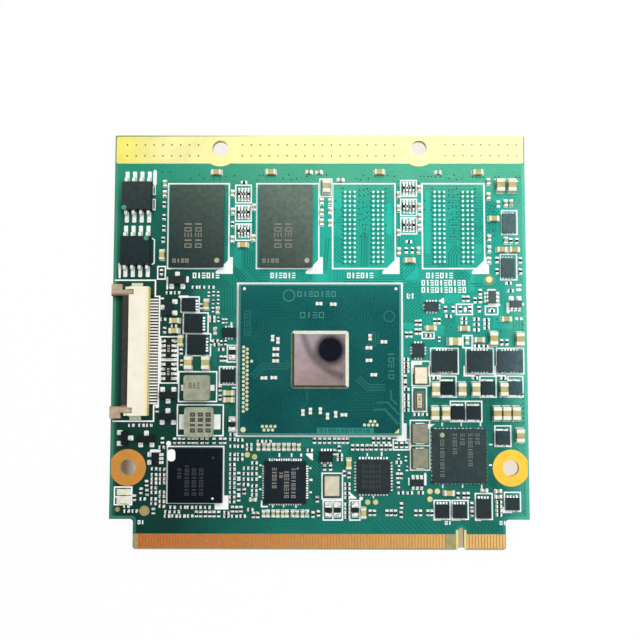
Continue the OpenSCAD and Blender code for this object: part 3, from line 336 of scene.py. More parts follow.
def solder_look():
    """Bright solder with painted highlights and a few painted shaded streaks that lean from the upper left to
    the lower right.
    """
    look = Look("solder", metallic=0.3)
    streak_axes = look.add("ShaderNodeMapping", Vector=look.place, Rotation=(0.0, 0.0, math.pi / 4),
                      Scale=(1.0 / (0.55 * MM), 1.0 / (0.22 * MM), 1.0 / (0.4 * MM)))
    streak = look.add("ShaderNodeTexNoise", Vector=streak_axes.outputs[0], Scale=1.0, Detail=1.0).outputs["Fac"]
    # painted highlight and painted shade: the streaks set the colour between dark and bright
    look.colour(look.mix(look.ramp(streak, 0.34, 0.45), (0.22, 0.25, 0.22), (0.97, 0.98, 0.95)))
    look.gloss(0.12, 0.22, 0.36, detail=2.0)
    look.bump(streak, 0.5, 0.03)
    return look.material


die_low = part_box("cpu_die")[0]
DIE_LEFT, DIE_BOTTOM = (die_low.x - board_low.x) / MM, (die_low.y - board_low.y) / MM


def die_look():
    """Polished silicon with faint smears and painted reflections in its base colour: lilac at the top,
    pinkish beige lower down and darker at the right side.
    """
    look = Look("die_silicon", roughness=0.012, metallic=1.0)
    smear = look.ramp(look.noise(2.6, detail=5.0, rough=0.7), 0.35, 0.65)
    upper = look.mix(smear, (0.8, 0.66, 0.68), (0.98, 0.83, 0.85))
    lower = look.mix(smear, (0.68, 0.5, 0.49), (0.92, 0.67, 0.63))
    # painted reflection: upper and lower tones of the die
    tone = look.fade("Y", 29.0, 33.5, lower, upper)
    # painted reflection: a darker tone for the die's right side, from X 38.5 on
    left = look.mix(smear, (0.52, 0.395, 0.4), (0.68, 0.54, 0.55))
    look.colour(look.fade("X", 33.0, 38.5, tone, left))
    return look.material


def substrate_look():
    """Dark teal mask with a fine speckle of buried vias."""
    look = Look("substrate_mask", metallic=0.9, Specular_IOR_Level=0.2)
    cloud = look.ramp(look.noise(7.0, detail=1.0), 0.35, 0.65)
    ground = look.mix(cloud, (0.0044, 0.064, 0.06), (0.0064, 0.086, 0.085))
    ground = look.fade("X", 34.0, 49.0, ground, (0.0046, 0.065, 0.065))
    ground = look.fade("Y", 39.5, 44.0, ground, (0.0066, 0.098, 0.094))
    ground = look.mix(look.tracks(4.6, 0.5, 0.5, 0.5), ground, (0.0095, 0.108, 0.098))
    spot = look.ramp(look.cells(0.62, Randomness=0.85)["Distance"], 0.1, 0.22, 0.26, 0.0)
    look.colour(look.mix(spot, ground, (0.03, 0.19, 0.18)))
    look.gloss(0.3, 0.38, 0.48)
    look.bump(look.noise(0.4), 0.2, 0.008)
    return look.material


def underfill_look():
    """Resin bead with painted light and shade: pale where painted lit on its upper and right slopes, olive
    where painted shaded on the other two, and nearly black in a painted shadow at the die.
    """
    look = Look("underfill_resin", Specular_IOR_Level=0.4)
    facing = look.facing()
    # painted light and shade: lit picks the pale copy on slopes that face up and right
    lit = look.ramp(look.math("ADD", facing["X"], facing["Y"]), -0.1, 0.2)
    blotch = look.blotch(0.9)
    pale = look.mix(blotch, (0.54, 0.61, 0.49), (0.68, 0.75, 0.62))
    olive = look.mix(blotch, (0.088, 0.15, 0.082), (0.16, 0.24, 0.135))
    # painted shadow, nearly black next to the die on the olive slopes
    die_shadow = look.math("MINIMUM", look.along("X", DIE_LEFT - 0.45, DIE_LEFT - 0.15),
                       look.along("Y", DIE_BOTTOM - 0.45, DIE_BOTTOM - 0.15))
    look.colour(look.mix(lit, look.mix(die_shadow, olive, (0.022, 0.016, 0.009)), pale))
    look.gloss(0.2, 0.2, 0.3)
    return look.material


def slider_look():
    """Brown plastic, darker along the bar than at the two ears: painted shade on the bar and painted light on
    the ears.
    """
    look = Look("slider_plastic", Specular_IOR_Level=0.3)
    ears = look.math("MAXIMUM", look.along("Y", 23.4, 24.0, 1.0, 0.0), look.along("Y", 42.2, 42.8))
    blotch = look.blotch(1.2)
    # painted shade along the bar, and painted light on the ears below
    bar = look.mix(blotch, (0.022, 0.019, 0.014), (0.042, 0.037, 0.029))
    ear = look.mix(blotch, (0.37, 0.275, 0.185), (0.53, 0.42, 0.3))
    look.colour(look.mix(ears, bar, ear))
    look.gloss(0.12, 0.4, 0.55)
    return look.material


def housing_look():
    """Cream plastic that yellows towards the side with the contacts."""
    look = Look("housing_plastic", Specular_IOR_Level=0.3)
    cream = look.mix(look.blotch(2.0), (0.82, 0.77, 0.61), (0.9, 0.86, 0.72))
    look.colour(look.fade("X", 5.75, 6.25, cream, (0.88, 0.74, 0.38)))
    look.gloss(0.12, 0.45, 0.6)
    return look.material


def pads_look():
    """Bright finish on the pads of the empty memory sites and gold on the test points, darker and more orange
    in a painted shade at the lower left corner.
    """
    look = Look("pad_finish", metallic=0.8)
    tone = look.blotch(0.5)
    gold = look.mix(tone, (0.58, 0.53, 0.18), (0.76, 0.72, 0.32))
    # painted shade: the test points at the lower left corner
    corner = look.math("MAXIMUM", look.along("X", 8.0, 8.2), look.along("Y", 10.0, 10.2))
    gold = look.mix(corner, look.mix(tone, (0.55, 0.33, 0.14), (0.7, 0.44, 0.21)), gold)
    bright = look.mix(tone, (0.66, 0.82, 0.73), (0.86, 0.96, 0.89))
    look.colour(look.fade("Y", 45.9, 46.3, gold, bright))
    look.gloss(0.2, 0.3, 0.45)
    return look.material


def plated_look(name, left, right, start, end, size=0.6, rough=(0.4, 0.5), tip=None):
    """Gold whose tone changes from one place along X to another, and to a tip's tone at the far left; these
    changes are a painted reflection.
    """
    look = Look(name, metallic=1.0)
    # painted reflection along X, and at the far left tip
    tone = look.fade("X", start, end, left, right)
    if tip:
        tone = look.fade("X", 2.0, 8.0, tip, tone)
    look.shade(tone, look.blotch(size, 0.92, 1.06))
    look.grain(0.25, rough, 0.006)
    return look.material


RESIN = (0.0035, 0.006, 0.008)  # moulded resin at its darkest
SOLDER = solder_look()
BRIGHT_TIN = mottled("bright_tin", (0.8, 0.82, 0.78), (0.95, 0.96, 0.92), size=0.5, rough=(0.3, 0.45),
                     metallic=0.2)
LOOKS = {
    "laminate": board_look(),
    "contact_gold": plated_look("contact_gold", (0.75, 0.172, 0.025), (0.72, 0.43, 0.138), 5.0, 66.0),
    "strip_gold": plated_look("strip_gold", (0.715, 0.665, 0.305), (0.68, 0.65, 0.295), 0.0, 45.0, size=3.0,
                              rough=(0.42, 0.55), tip=(0.77, 0.69, 0.165)),
    "ring_gold": plated_look("ring_gold", (0.79, 0.36, 0.074), (0.7, 0.43, 0.05), 5.0, 65.0, size=1.4,
                             rough=(0.38, 0.5)),
    "substrate": substrate_look(),
    "silicon": die_look(),
    "underfill": underfill_look(),
    "pale_ceramic": mottled("pale_ceramic", (0.6, 0.54, 0.4), (0.74, 0.69, 0.54), size=0.3),
    "tan_ceramic": mottled("tan_ceramic", (0.4, 0.34, 0.13), (0.6, 0.49, 0.21), size=1.5,
                           Specular_IOR_Level=0.3),
    "tin": SOLDER,
    "memory_mould": mould_look("memory_mould", (0.012, 0.026, 0.026), (0.12, 0.17, 0.135), (0.041, 0.0625),
                               (10.0, 47.0), (31.0, 59.0), (0.42, 0.58), 0.15),
    "chip_mould": mould_look("chip_mould", RESIN, (0.088, 0.16, 0.175)),
    "connector_cream": housing_look(),
    "connector_brown": slider_look(),
    "choke_ferrite": mottled("choke_powder", (0.22, 0.245, 0.165), (0.37, 0.4, 0.29), size=0.9, grain=0.15,
                             depth=0.04),
    "black_ferrite": mould_look("black_ferrite", (0.006, 0.015, 0.017), (0.052, 0.11, 0.136),
                                (0.24, 0.02), (54.0, 24.0), (69.0, 27.0), rough=(0.4, 0.6)),
    "grey_ferrite": mottled("grey_ferrite", (0.19, 0.185, 0.13), (0.29, 0.285, 0.2), size=0.8, grain=0.15),
    "oscillator_ceramic": mottled("oscillator_base", (0.11, 0.085, 0.038), (0.17, 0.135, 0.066), size=0.6),
    "lid_metal": mottled("plated_lid", (0.6, 0.54, 0.392), (0.75, 0.68, 0.54), size=1.2, rough=(0.3, 0.42),
                         metallic=0.35),
    "resistor_black": mottled("resistor_glaze", (0.004, 0.006, 0.006), (0.012, 0.015, 0.015), size=0.3,
                              Specular_IOR_Level=0.2),
    "led_white": mottled("led_lens", (0.74, 0.7, 0.44), (0.86, 0.84, 0.66), size=0.5, rough=(0.2, 0.35)),
}
CAPACITOR_TIN = mottled("capacitor_tin", (0.64, 0.66, 0.53), (0.84, 0.86, 0.75), size=0.3, metallic=0.2)
NODE_LOOKS = {
    "bare_pads": pads_look(),
    "cpu_contact_dots": mottled("pale_contacts", (0.52, 0.56, 0.32), (0.7, 0.74, 0.5), rough=(0.35, 0.5),
                                metallic=0.3),
    "small_capacitor_bodies": mottled("olive_ceramic", (0.34, 0.32, 0.16), (0.5, 0.48, 0.28), size=0.6,
                                      Specular_IOR_Level=0.3),
    "ffc_solder_tabs": mottled("tab_tin", (0.54, 0.6, 0.42), (0.7, 0.76, 0.56), size=0.4, metallic=0.2),
    "control_chip_body": mould_look("control_mould", (0.003, 0.006, 0.01), (0.006, 0.01, 0.015),
                                    start=(9.0, 7.0), end=(20.0, 18.0), rough=(0.3, 0.4), specular=0.05),
    "bridge_chip_body": mould_look("bridge_mould", (0.007, 0.013, 0.019), (0.011, 0.019, 0.026),
                                   start=(25.0, 7.0), end=(34.0, 16.0), rough=(0.4, 0.5), specular=0.1),
    "clock_chip_body": mould_look("clock_mould", (0.015, 0.025, 0.029), (0.021, 0.033, 0.039),
                                  start=(41.0, 9.0), end=(48.0, 16.0), rough=(0.4, 0.5)),
    "power_manager_body": mould_look("power_mould", (0.022, 0.038, 0.043), (0.032, 0.054, 0.056),
                                     start=(53.0, 10.0), end=(63.0, 21.0), rough=(0.42, 0.58)),
    "power_stage_bodies": mould_look("stage_mould", (0.0165, 0.034, 0.037), (0.066, 0.112, 0.135),
                                     (0.25, 0.0), (60.0, 31.0), (68.6, 31.0), (0.42, 0.58), 0.15),
    "regulator_bodies": mould_look("regulator_mould", RESIN, (0.13, 0.235, 0.25), (0.028, 0.03)),
    "transistor_bodies": mould_look("transistor_mould", RESIN, (0.185, 0.3, 0.29), (0.028, 0.03)),
    "flash_chip_bodies": mould_look("flash_mould", (0.011, 0.02, 0.023), (0.03, 0.044, 0.044), (0.0, 0.07),
                                    (0.0, 47.5), (0.0, 61.5), (0.35, 0.5)),
    "led_terminals": mottled("led_ends", (0.7, 0.71, 0.64), (0.86, 0.87, 0.8), size=0.4, metallic=0.2),
    **dict.fromkeys(("large_capacitor_ends", "medium_capacitor_ends"), CAPACITOR_TIN),
    **dict.fromkeys(("cpu_capacitor_ends", "choke_terminals", "flash_chip_leads", "ffc_contacts",
                     "transistor_leads"), BRIGHT_TIN),
}

for part in frame["record"]["subparts"]:
    obj = nodes[part["node"]]
    obj.data.materials.clear()
    obj.data.materials.append(NODE_LOOKS.get(part["node"], LOOKS[part["material_slot"]]))

WHITE_INK = mottled("white_ink", (0.92, 0.95, 0.94), (0.97, 0.98, 0.98), size=0.5, rough=(0.55, 0.7),
                    depth=0.004)
DARK_GAP_AND_SHADE = mask_look("track_gap_and_shade", 0.6)
POUR = mask_look("wide_copper", 1.15)
RIM = mask_look("bare_rim", 1.25, left=(0.052, 0.27, 0.165))
VIA = mottled("plugged_via", (0.002, 0.016, 0.012), (0.004, 0.03, 0.022), size=0.3)
BARE_LAMINATE = mottled("bare_laminate", (0.26, 0.2, 0.075), (0.38, 0.31, 0.15), size=0.7, rough=(0.5, 0.65))
GREY_GREEN = mottled("etched_laminate", (0.27, 0.25, 0.1), (0.37, 0.34, 0.15), size=0.7, rough=(0.5, 0.65))
YELLOW_EDGE = mottled("gold_edge", (0.68, 0.58, 0.19), (0.82, 0.7, 0.27), size=0.7, rough=(0.4, 0.55))
MARK = dict(size=0.2, rough=(0.6, 0.75), depth=0.004)
DOT = dict(size=0.3, rough=(0.5, 0.65), depth=0.004)
TEAL = dict(size=0.3, depth=0.004)
GREY_MARK = mottled("grey_marking", (0.17, 0.165, 0.13), (0.27, 0.255, 0.2), **MARK)
BRIDGE_MARK = mottled("bright_marking", (0.13, 0.135, 0.13), (0.24, 0.245, 0.23), **MARK)
POWER_MARK = mottled("power_marking", (0.12, 0.13, 0.11), (0.2, 0.21, 0.17), **MARK)
FAINT_MARK = mottled("faint_marking", (0.02, 0.023, 0.026), (0.036, 0.041, 0.044), **MARK)
TEAL_MARK = mottled("teal_marking", (0.046, 0.19, 0.15), (0.076, 0.27, 0.22), metallic=0.6, **TEAL)
TEAL_TRACK = mottled("teal_track", (0.009, 0.105, 0.095), (0.014, 0.145, 0.13), metallic=0.7, **TEAL)
DARK_TEAL = mottled("dark_teal_marking", (0.003, 0.07, 0.062), (0.006, 0.1, 0.088), metallic=0.6, **TEAL)
PATCH = mottled("substrate_copper", (0.01, 0.19, 0.16), (0.016, 0.25, 0.21), size=0.8, metallic=0.6,
                depth=0.004)
PIN_DOT = mottled("pin_dot", (0.32, 0.34, 0.2), (0.44, 0.46, 0.29), **DOT)
GREEN_DOT = mottled("green_dot", (0.025, 0.21, 0.12), (0.05, 0.31, 0.19), **DOT)
ARRAY_MARK = mottled("array_marking", (0.34, 0.36, 0.34), (0.5, 0.52, 0.49), **MARK)
BROWN_MARK = mottled("brown_marking", (0.16, 0.12, 0.05), (0.25, 0.19, 0.09), **MARK)
BLACK_MARK = mottled("black_marking", (0.02, 0.021, 0.018), (0.05, 0.052, 0.044), **MARK)
STRIP_VIA = mottled("strip_via", (0.13, 0.115, 0.03), (0.22, 0.19, 0.06), size=0.3, metallic=0.6)
SMUDGE = mottled("olive_smudge", (0.12, 0.105, 0.042), (0.18, 0.16, 0.08), size=0.4, rough=(0.6, 0.75),
                 depth=0.004)


# Flat print
def circle(x, y, r, steps):
    turns = [2 * math.pi * i / steps for i in range(steps)]
    return [(x + r * math.cos(turn), y + r * math.sin(turn)) for turn in turns]


class Print:
    """Flat shapes of one colour, each a closed prism, gathered into one mesh that lies on a level face.
    Shapes that cross differ a little in height, so that no two faces coincide."""

    STEPS = 12  # different heights
    RISE = 0.0006  # between one height and the next, in mm
    INKED = 0.78  # share of its cell that a mark takes up
    STEM = 0.7  # half the width of a single upright bar, in strokes
    ROUNDED = 0.499  # radius of a fully rounded end, as a share of the bar's width
    sheets = []  # all the prints

    def __init__(self, name, look, thick=0.012, on=None, under=False, slot="laminate"):
        self.name, self.look, self.thick, self.under, self.slot = name, look, thick, under, slot
        self.low = (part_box(on)[1].z - board_high.z) / MM if on else 0.0
        self.mesh = bmesh.new()
        self.count = 0
        self.sheets.append(self)

    def point(self, x, y, z):
        if self.under:
            return Vector((board_low.x + x * MM, board_low.y + y * MM, board_low.z - z * MM))
        return on_board(x, y, z)

    def heights(self):
        self.count += 1
        return self.low, self.low + self.thick + self.count % self.STEPS * self.RISE

    def polygon(self, points):
        z0, z1 = self.heights()
        low = [self.mesh.verts.new(self.point(x, y, z0)) for x, y in points]
        high = [self.mesh.verts.new(self.point(x, y, z1)) for x, y in points]
        self.mesh.faces.new(high)
        self.mesh.faces.new(low[::-1])
        for i in range(len(points)):
            j = (i + 1) % len(points)
            self.mesh.faces.new((low[i], low[j], high[j], high[i]))

    def bar(self, x0, y0, x1, y1):
        self.polygon([(x0, y0), (x1, y0), (x1, y1), (x0, y1)])

    def round_bar(self, x0, y0, x1, y1, r=None, steps=4):
        r = self.ROUNDED * min(x1 - x0, y1 - y0) if r is None else r
        middles = ((x1 - r, y1 - r), (x0 + r, y1 - r), (x0 + r, y0 + r), (x1 - r, y0 + r))
        points = []
        for k, (x, y) in enumerate(middles):
            for i in range(steps + 1):
                a = math.pi / 2 * (k + i / steps)
                points.append((x + r * math.cos(a), y + r * math.sin(a)))
        self.polygon(points)

    def disc(self, x, y, r, steps=14):
        self.polygon(circle(x, y, r, steps))

    def ring(self, x, y, r, w, steps=24):
        self.line(circle(x, y, r, steps), w, closed=True)

    def line(self, points, w, closed=False):
        """A line of width w through the points, mitred at its corners."""
        z0, z1 = self.heights()
        left, right = beside(points, w / 2, closed), beside(points, -w / 2, closed)
        rings = [[self.mesh.verts.new(self.point(*q, z)) for q, z in ((a, z0), (b, z0), (b, z1), (a, z1))]
                 for a, b in zip(left, right)]
        spans = list(zip(rings, rings[1:]))
        if closed:
            spans.append((rings[-1], rings[0]))
        for a, b in spans:
            for k in range(4):
                m = (k + 1) % 4
                self.mesh.faces.new((a[k], a[m], b[m], b[k]))
        if not closed:
            self.mesh.faces.new(rings[0][::-1])
            self.mesh.faces.new(rings[-1])

    def outline(self, x0, y0, x1, y1, w=0.22):
        self.line([(x0, y0), (x1, y0), (x1, y1), (x0, y1)], w, closed=True)

    def corner(self, x, y, across, up, w):
        """A thick L whose outer corner is at x, y and whose arms run across and up from there."""
        i, j = math.copysign(w, across), math.copysign(w, up)
        points = ((0, 0), (across, 0), (across, j), (i, j), (i, up), (0, up))
        self.polygon([(x + a, y + b) for a, b in points])

    def bundle(self, points, count, pitch=0.45, w=0.18):
        """Parallel lines side by side along one path."""
        for k in range(count):
            self.line(beside(points, (k - (count - 1) / 2) * pitch, False), w)

    def hatch(self, x0, y0, x1, y1, lean, pitch=0.45, w=0.18):
        """Slanted lines that fill a box, rising to the right where lean is 1 and falling where it is -1."""
        first, last = (y0 - x1, y1 - x0) if lean > 0 else (x0 + y0, x1 + y1)
        step = pitch * math.sqrt(2)
        for i in range(1, int((last - first) / step)):
            s = first + i * step
            a, b = (max(x0, y0 - s), min(x1, y1 - s)) if lean > 0 else (max(x0, s - y1), min(x1, s - y0))
            if b - a > 2 * w:
                self.line([(a, s + lean * a), (b, s + lean * b)], w)

    def marks(self, x0, y0, x1, y1, pitch=0.72, stroke=0.19):
        """A row of plain blocks, bars and dashes along the longer side of a box."""
        upright = y1 - y0 > x1 - x0
        length = (y1 - y0) if upright else (x1 - x0)
        tall = (x1 - x0) if upright else (y1 - y0)
        cells = max(1, round(length / pitch))
        step = length / cells

        def bar(a0, b0, a1, b1):
            if upright:
                self.bar(x0 + b0, y0 + a0, x0 + b1, y0 + a1)
            else:
                self.bar(x0 + a0, y0 + b0, x0 + a1, y0 + b1)

        for i in range(cells):
            a, b = i * step, i * step + step * self.INKED
            kind = i * 5 % 3
            if kind == 0:
                bar(a, 0, a + stroke, tall)
                bar(b - stroke, 0, b, tall)
            if kind < 2:
                bar(a, tall - stroke, b, tall)
                bar(a, 0, b, stroke)
            if kind == 1:
                bar(a, (tall - stroke) / 2, b, (tall + stroke) / 2)
            if kind == 2:
                bar((a + b) / 2 - stroke * self.STEM, 0, (a + b) / 2 + stroke * self.STEM, tall)

    def build(self):
        bmesh.ops.recalc_face_normals(self.mesh, faces=self.mesh.faces[:])
        piece = add_mesh(self.name, self.mesh, self.look)
        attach(piece, BODY)


SHARPEST = 0.3  # keeps the mitre at a sharp corner short


def beside(points, distance, closed):
    """The points moved sideways by distance, to the left of the way that they run, mitred at the corners."""
    out = []
    last = len(points) - 1
    for i, p in enumerate(points):
        before = points[i - 1] if i or closed else None
        after = points[(i + 1) % (last + 1)] if i < last or closed else None
        sides = []
        for a, b in ((before, p), (p, after)):
            if a and b:
                d = math.dist(a, b)
                sides.append(((a[1] - b[1]) / d, (b[0] - a[0]) / d))
        nx, ny = (sum(s[k] for s in sides) / len(sides) for k in (0, 1))
        stretch = distance / max(SHARPEST, nx * nx + ny * ny)
        out.append((p[0] + nx * stretch, p[1] + ny * stretch))
    return out


SAME_PLACE = 2e6  # steps in a metre of the grid on which vertices are matched


def islands(name):
    """The separate solids of a CAD node, each as (x0, y0, x1, y1) in board millimetres."""
    mesh = nodes[name].data
    parent = list(range(len(mesh.vertices)))

    def find(i):
        while parent[i] != i:
            parent[i] = parent[parent[i]]
            i = parent[i]
        return i

    first = {}
    for v in mesh.vertices:  # the same place counts as the same vertex
        key = tuple(round(c * SAME_PLACE) for c in v.co)
        if key in first:
            parent[find(v.index)] = find(first[key])
        else:
            first[key] = v.index
    for p in mesh.polygons:
        a = find(p.vertices[0])
        for i in p.vertices[1:]:
            parent[find(i)] = a
    groups = {}
    for v in mesh.vertices:
        place = ((v.co.x - board_low.x) / MM, (v.co.y - board_low.y) / MM)
        groups.setdefault(find(v.index), []).append(place)
    boxes = []
    for group in groups.values():
        xs, ys = zip(*group)
        boxes.append((min(xs), min(ys), max(xs), max(ys)))
    return boxes


# Copper that shows through the mask
pours = Print("copper_pours", POUR, thick=0.004)
for box in (
        (56.2, 41.1, 59.2, 42.7), (54.2, 35.6, 56.0, 37.3), (49.2, 27.1, 50.6, 29.3),
        (49.3, 36.7, 51.0, 37.9), (60.2, 43.0, 61.3, 46.6), (37.5, 57.4, 38.7, 60.6),
        (46.4, 52.8, 47.3, 58.2), (53.0, 49.5, 53.8, 60.3), (20.4, 47.0, 21.7, 50.6),
        (34.4, 44.75, 36.4, 46.2), (17.05, 30.4, 17.75, 34.2), (38.5, 15.8, 39.9, 17.4),
        (32.0, 17.0, 33.6, 18.4), (33.6, 12.3, 34.9, 14.6), (13.5, 41.9, 15.9, 43.4),
        (61.4, 49.5, 62.6, 53.5), (64.4, 36.9, 65.9, 40.9), (65.6, 36.8, 67.6, 37.7),
        (49.2, 45.2, 51.8, 47.4), (19.2, 22.0, 20.2, 24.0)):
    pours.round_bar(*box, r=0.3)

gaps_and_shade = Print("track_gaps_and_shade", DARK_GAP_AND_SHADE, thick=0.006)
for points, count in (
        ([(23.2, 50.2), (23.2, 47.6), (25.0, 45.8), (26.5, 45.8)], 5), ([(20.2, 47.1), (22.4, 44.9)], 3),
        ([(20.6, 38.7), (19.4, 40.0), (19.4, 43.3), (17.5, 45.2)], 5), ([(31.0, 46.9), (33.2, 44.8)], 5),
        ([(39.0, 45.0), (47.6, 45.0)], 2), ([(45.0, 45.9), (49.0, 45.9), (50.4, 47.3), (50.4, 49.2)], 4),
        ([(60.6, 44.2), (62.6, 44.2)], 2), ([(58.6, 50.9), (57.6, 49.4), (57.6, 47.3)], 4),
        ([(42.6, 53.0), (42.6, 47.3)], 3), ([(48.3, 49.6), (48.3, 61.5)], 2),
        ([(35.9, 46.6), (36.4, 52.2)], 2), ([(24.0, 50.6), (24.0, 57.0)], 2),
        ([(20.2, 31.0), (20.2, 24.2), (19.4, 23.2), (19.4, 19.6)], 2),
        ([(40.0, 16.6), (41.2, 15.6), (42.0, 15.6)], 3), ([(58.9, 29.2), (58.9, 33.6)], 2),
        ([(64.0, 21.0), (64.0, 25.0)], 2)):
    gaps_and_shade.bundle(points, count)
for box in (
        (49.1, 37.8, 52.3, 44.7, 1), (57.9, 45.1, 60.6, 46.8, -1), (12.0, 42.7, 13.6, 46.7, -1),
        (14.0, 44.3, 17.6, 45.2, -1), (33.6, 8.6, 35.2, 15.8, -1), (27.0, 15.4, 31.8, 16.3, -1),
        (60.0, 2.8, 64.9, 4.8, -1), (61.3, 51.2, 62.8, 54.4, 1), (37.5, 48.0, 38.9, 52.6, -1),
        (55.0, 47.3, 57.0, 48.0, -1), (49.2, 21.4, 50.4, 26.6, -1), (54.0, 24.5, 57.2, 25.3, -1),
        (62.4, 24.4, 66.0, 25.2, -1), (66.4, 20.6, 69.0, 21.3, -1), (63.4, 53.2, 65.2, 58.9, -1),
        (55.0, 37.6, 58.0, 38.9, 1), (63.3, 10.4, 64.6, 16.0, -1), (24.4, 14.7, 26.4, 17.0, 1)):
    gaps_and_shade.hatch(*box)
gaps_and_shade.hatch(44.0, 2.8, 57.2, 4.8, -1, pitch=0.6, w=0.12)
# painted shadow: a dark bar between and under the tails of the flat-cable connector
gaps_and_shade.bar(6.25, 23.6, 7.8, 42.6)  # between the tails of the flat-cable connector

rim = Print("mask_over_laminate", RIM, thick=0.005)
rim.line([(0.3, 64.8), (0.3, 5.3), (4.0, 5.3), (4.3, 5.0), (4.3, 2.7)], 0.45)
rim.line([(69.7, 64.8), (69.7, 5.3), (66.0, 5.3), (65.7, 5.0), (65.7, 2.7)], 0.45)
rim.line([(57.95, 2.7), (57.95, 3.4), (58.3, 3.85), (58.9, 3.85), (59.25, 3.4), (59.25, 2.7)], 0.4)

plugs = Print("strip_plugs", STRIP_VIA, thick=0.02)
VIA_PITCH, VIA_ROWS = 1.524, (66.45, 68.35)
for start, count in ((2.05, 9), (21.8, 18), (56.5, 9)):
    for k in range(count):
        for y in VIA_ROWS:
            plugs.disc(start + k * VIA_PITCH, y, 0.145, steps=10)

VIA_RADIUS = 0.14
PAD_LIMIT = 0.6  # the sites' pads are narrower than this, the test points wider
strokes = Print("site_tracks", DARK_GAP_AND_SHADE, thick=0.007)
vias = Print("plugged_vias", VIA, thick=0.008)
SITE_VIAS = (
    (41.8, 60.45), (42.5, 60.5), (43.15, 60.75), (43.3, 59.75), (41.8, 59.6), (42.65, 59.45), (43.6, 58.55),
    (41.8, 58.4), (42.5, 58.35), (41.8, 57.3), (42.45, 57.5), (43.05, 57.6), (43.1, 56.65), (41.6, 56.35),
    (42.2, 56.35), (43.05, 55.75), (42.5, 55.45), (41.85, 55.25), (42.4, 54.55), (43.0, 54.55),
    (42.65, 53.7), (42.6, 53.1), (42.0, 52.5), (42.7, 52.5), (46.3, 60.7), (46.3, 59.95), (46.3, 59.1),
    (46.3, 58.3), (46.4, 57.1), (46.3, 54.4), (46.3, 52.9), (38.95, 60.8), (37.75, 58.6), (37.6, 57.1),
    (38.75, 57.1), (37.5, 54.9))
SITE_SHIFT = 15.25  # from one memory site to the next
for x, y in SITE_VIAS:
    vias.disc(x, y, VIA_RADIUS, steps=8)
    vias.disc(x + SITE_SHIFT, y, VIA_RADIUS, steps=8)
for x, y in (
        (36.2, 63.1), (36.2, 62.5), (42.5, 63.1), (41.2, 62.5), (42.0, 62.3), (43.4, 62.5), (46.6, 63.0),
        (47.8, 62.9), (48.4, 62.0), (52.3, 62.9), (52.85, 62.9), (53.5, 62.85), (54.1, 62.85), (54.8, 62.8),
        (55.7, 62.9), (51.9, 61.7), (58.0, 63.1), (57.1, 62.5), (58.4, 62.3), (59.3, 62.5), (61.1, 62.7),
        (61.8, 62.7), (62.4, 62.7), (63.0, 62.7), (65.0, 62.7), (65.6, 62.8), (68.6, 62.75), (69.2, 62.7),
        (19.0, 62.85), (20.5, 63.0), (17.9, 62.4), (24.75, 63.05), (25.35, 63.05), (24.4, 62.2),
        (28.85, 62.5), (29.75, 63.1), (30.2, 62.3), (31.1, 62.5), (32.8, 62.85), (8.1, 63.7), (9.4, 63.65),
        (14.4, 63.15), (13.0, 62.5), (15.2, 62.5), (16.9, 62.4), (56.5, 37.3), (57.2, 37.0), (56.5, 36.4),
        (69.3, 37.5), (69.3, 36.6), (65.0, 38.4), (65.6, 36.3), (62.8, 24.4), (63.5, 24.4), (64.6, 56.7),
        (64.6, 53.5), (64.7, 52.7), (64.8, 57.7), (26.5, 3.6), (27.1, 3.5), (64.0, 8.3), (69.0, 6.3),
        (62.75, 21.7), (62.75, 22.5)):
    vias.disc(x, y, VIA_RADIUS, steps=8)
for k in range(9):  # a row of stitching vias inside the right edge
    vias.disc(69.2, 21.0 + 0.8 * k, VIA_RADIUS, steps=8)
for x0, y0, x1, y1 in islands("bare_pads"):
    if x1 - x0 < PAD_LIMIT:
        x, y = (x0 + x1) / 2, (y0 + y1) / 2
        strokes.line([(x - 0.62, y - 0.02), (x - 0.12, y - 0.5)], 0.17)
        vias.disc(x - 0.4, y - 0.36, 0.13, steps=8)

# Bare laminate between the contacts, the edges of the key slot, and the rings round the fiducials
LEFT_OF_SLOT = [(4.16, 0.22), (56.0, 0.22), (56.0, 2.62), (4.02, 2.62), (4.02, 0.36)]
RIGHT_OF_SLOT = [(59.55, 0.22), (65.84, 0.22), (65.98, 0.36), (65.98, 2.62), (59.55, 2.62)]
for name, under in (("bare_laminate", False), ("bare_laminate_underside", True)):
    bare = Print(name, BARE_LAMINATE, thick=0.008, under=under)
    bare.polygon(LEFT_OF_SLOT)
    bare.polygon(RIGHT_OF_SLOT)
    if not under:
        bare.ring(5.9, 6.35, 0.68, 0.34)
        bare.ring(63.75, 45.1, 0.75, 0.26)
etched = Print("etched_laminate", GREY_GREEN, thick=0.008)
etched.bar(56.02, 0.22, 57.7, 2.62)
edges = Print("slot_edges", YELLOW_EDGE, thick=0.008)
edges.polygon([(57.72, 0.22), (57.99, 0.22), (58.12, 0.36), (58.12, 3.3), (57.72, 3.3)])
edges.polygon([(59.08, 0.36), (59.21, 0.22), (59.46, 0.22), (59.46, 3.3), (59.08, 3.3)])

# White print
MEMORY_BOXES = ((9.2, 19.6), (24.3, 34.9), (37.25, 47.9), (52.5, 63.05))
MEMORY_Y = (47.0, 61.6)
ink = Print("white_print", WHITE_INK)
ink.outline(21.2, 18.76, 48.98, 44.46, 0.32)
for x0, x1 in MEMORY_BOXES:
    ink.outline(x0, MEMORY_Y[0], x1, MEMORY_Y[1], 0.25)
    ink.polygon([(x1 - 2.2, 46.1), (x1 + 0.7, 46.1), (x1 + 0.7, 48.95), (x1 + 0.1, 48.95), (x1 - 0.05, 48.5),
                 (x1 - 1.6, 46.95), (x1 - 2.2, 46.55)])
ink.polygon([(48.0, 17.95), (49.65, 17.95), (49.65, 20.9), (49.1, 20.9), (49.1, 18.6), (48.0, 18.6)])

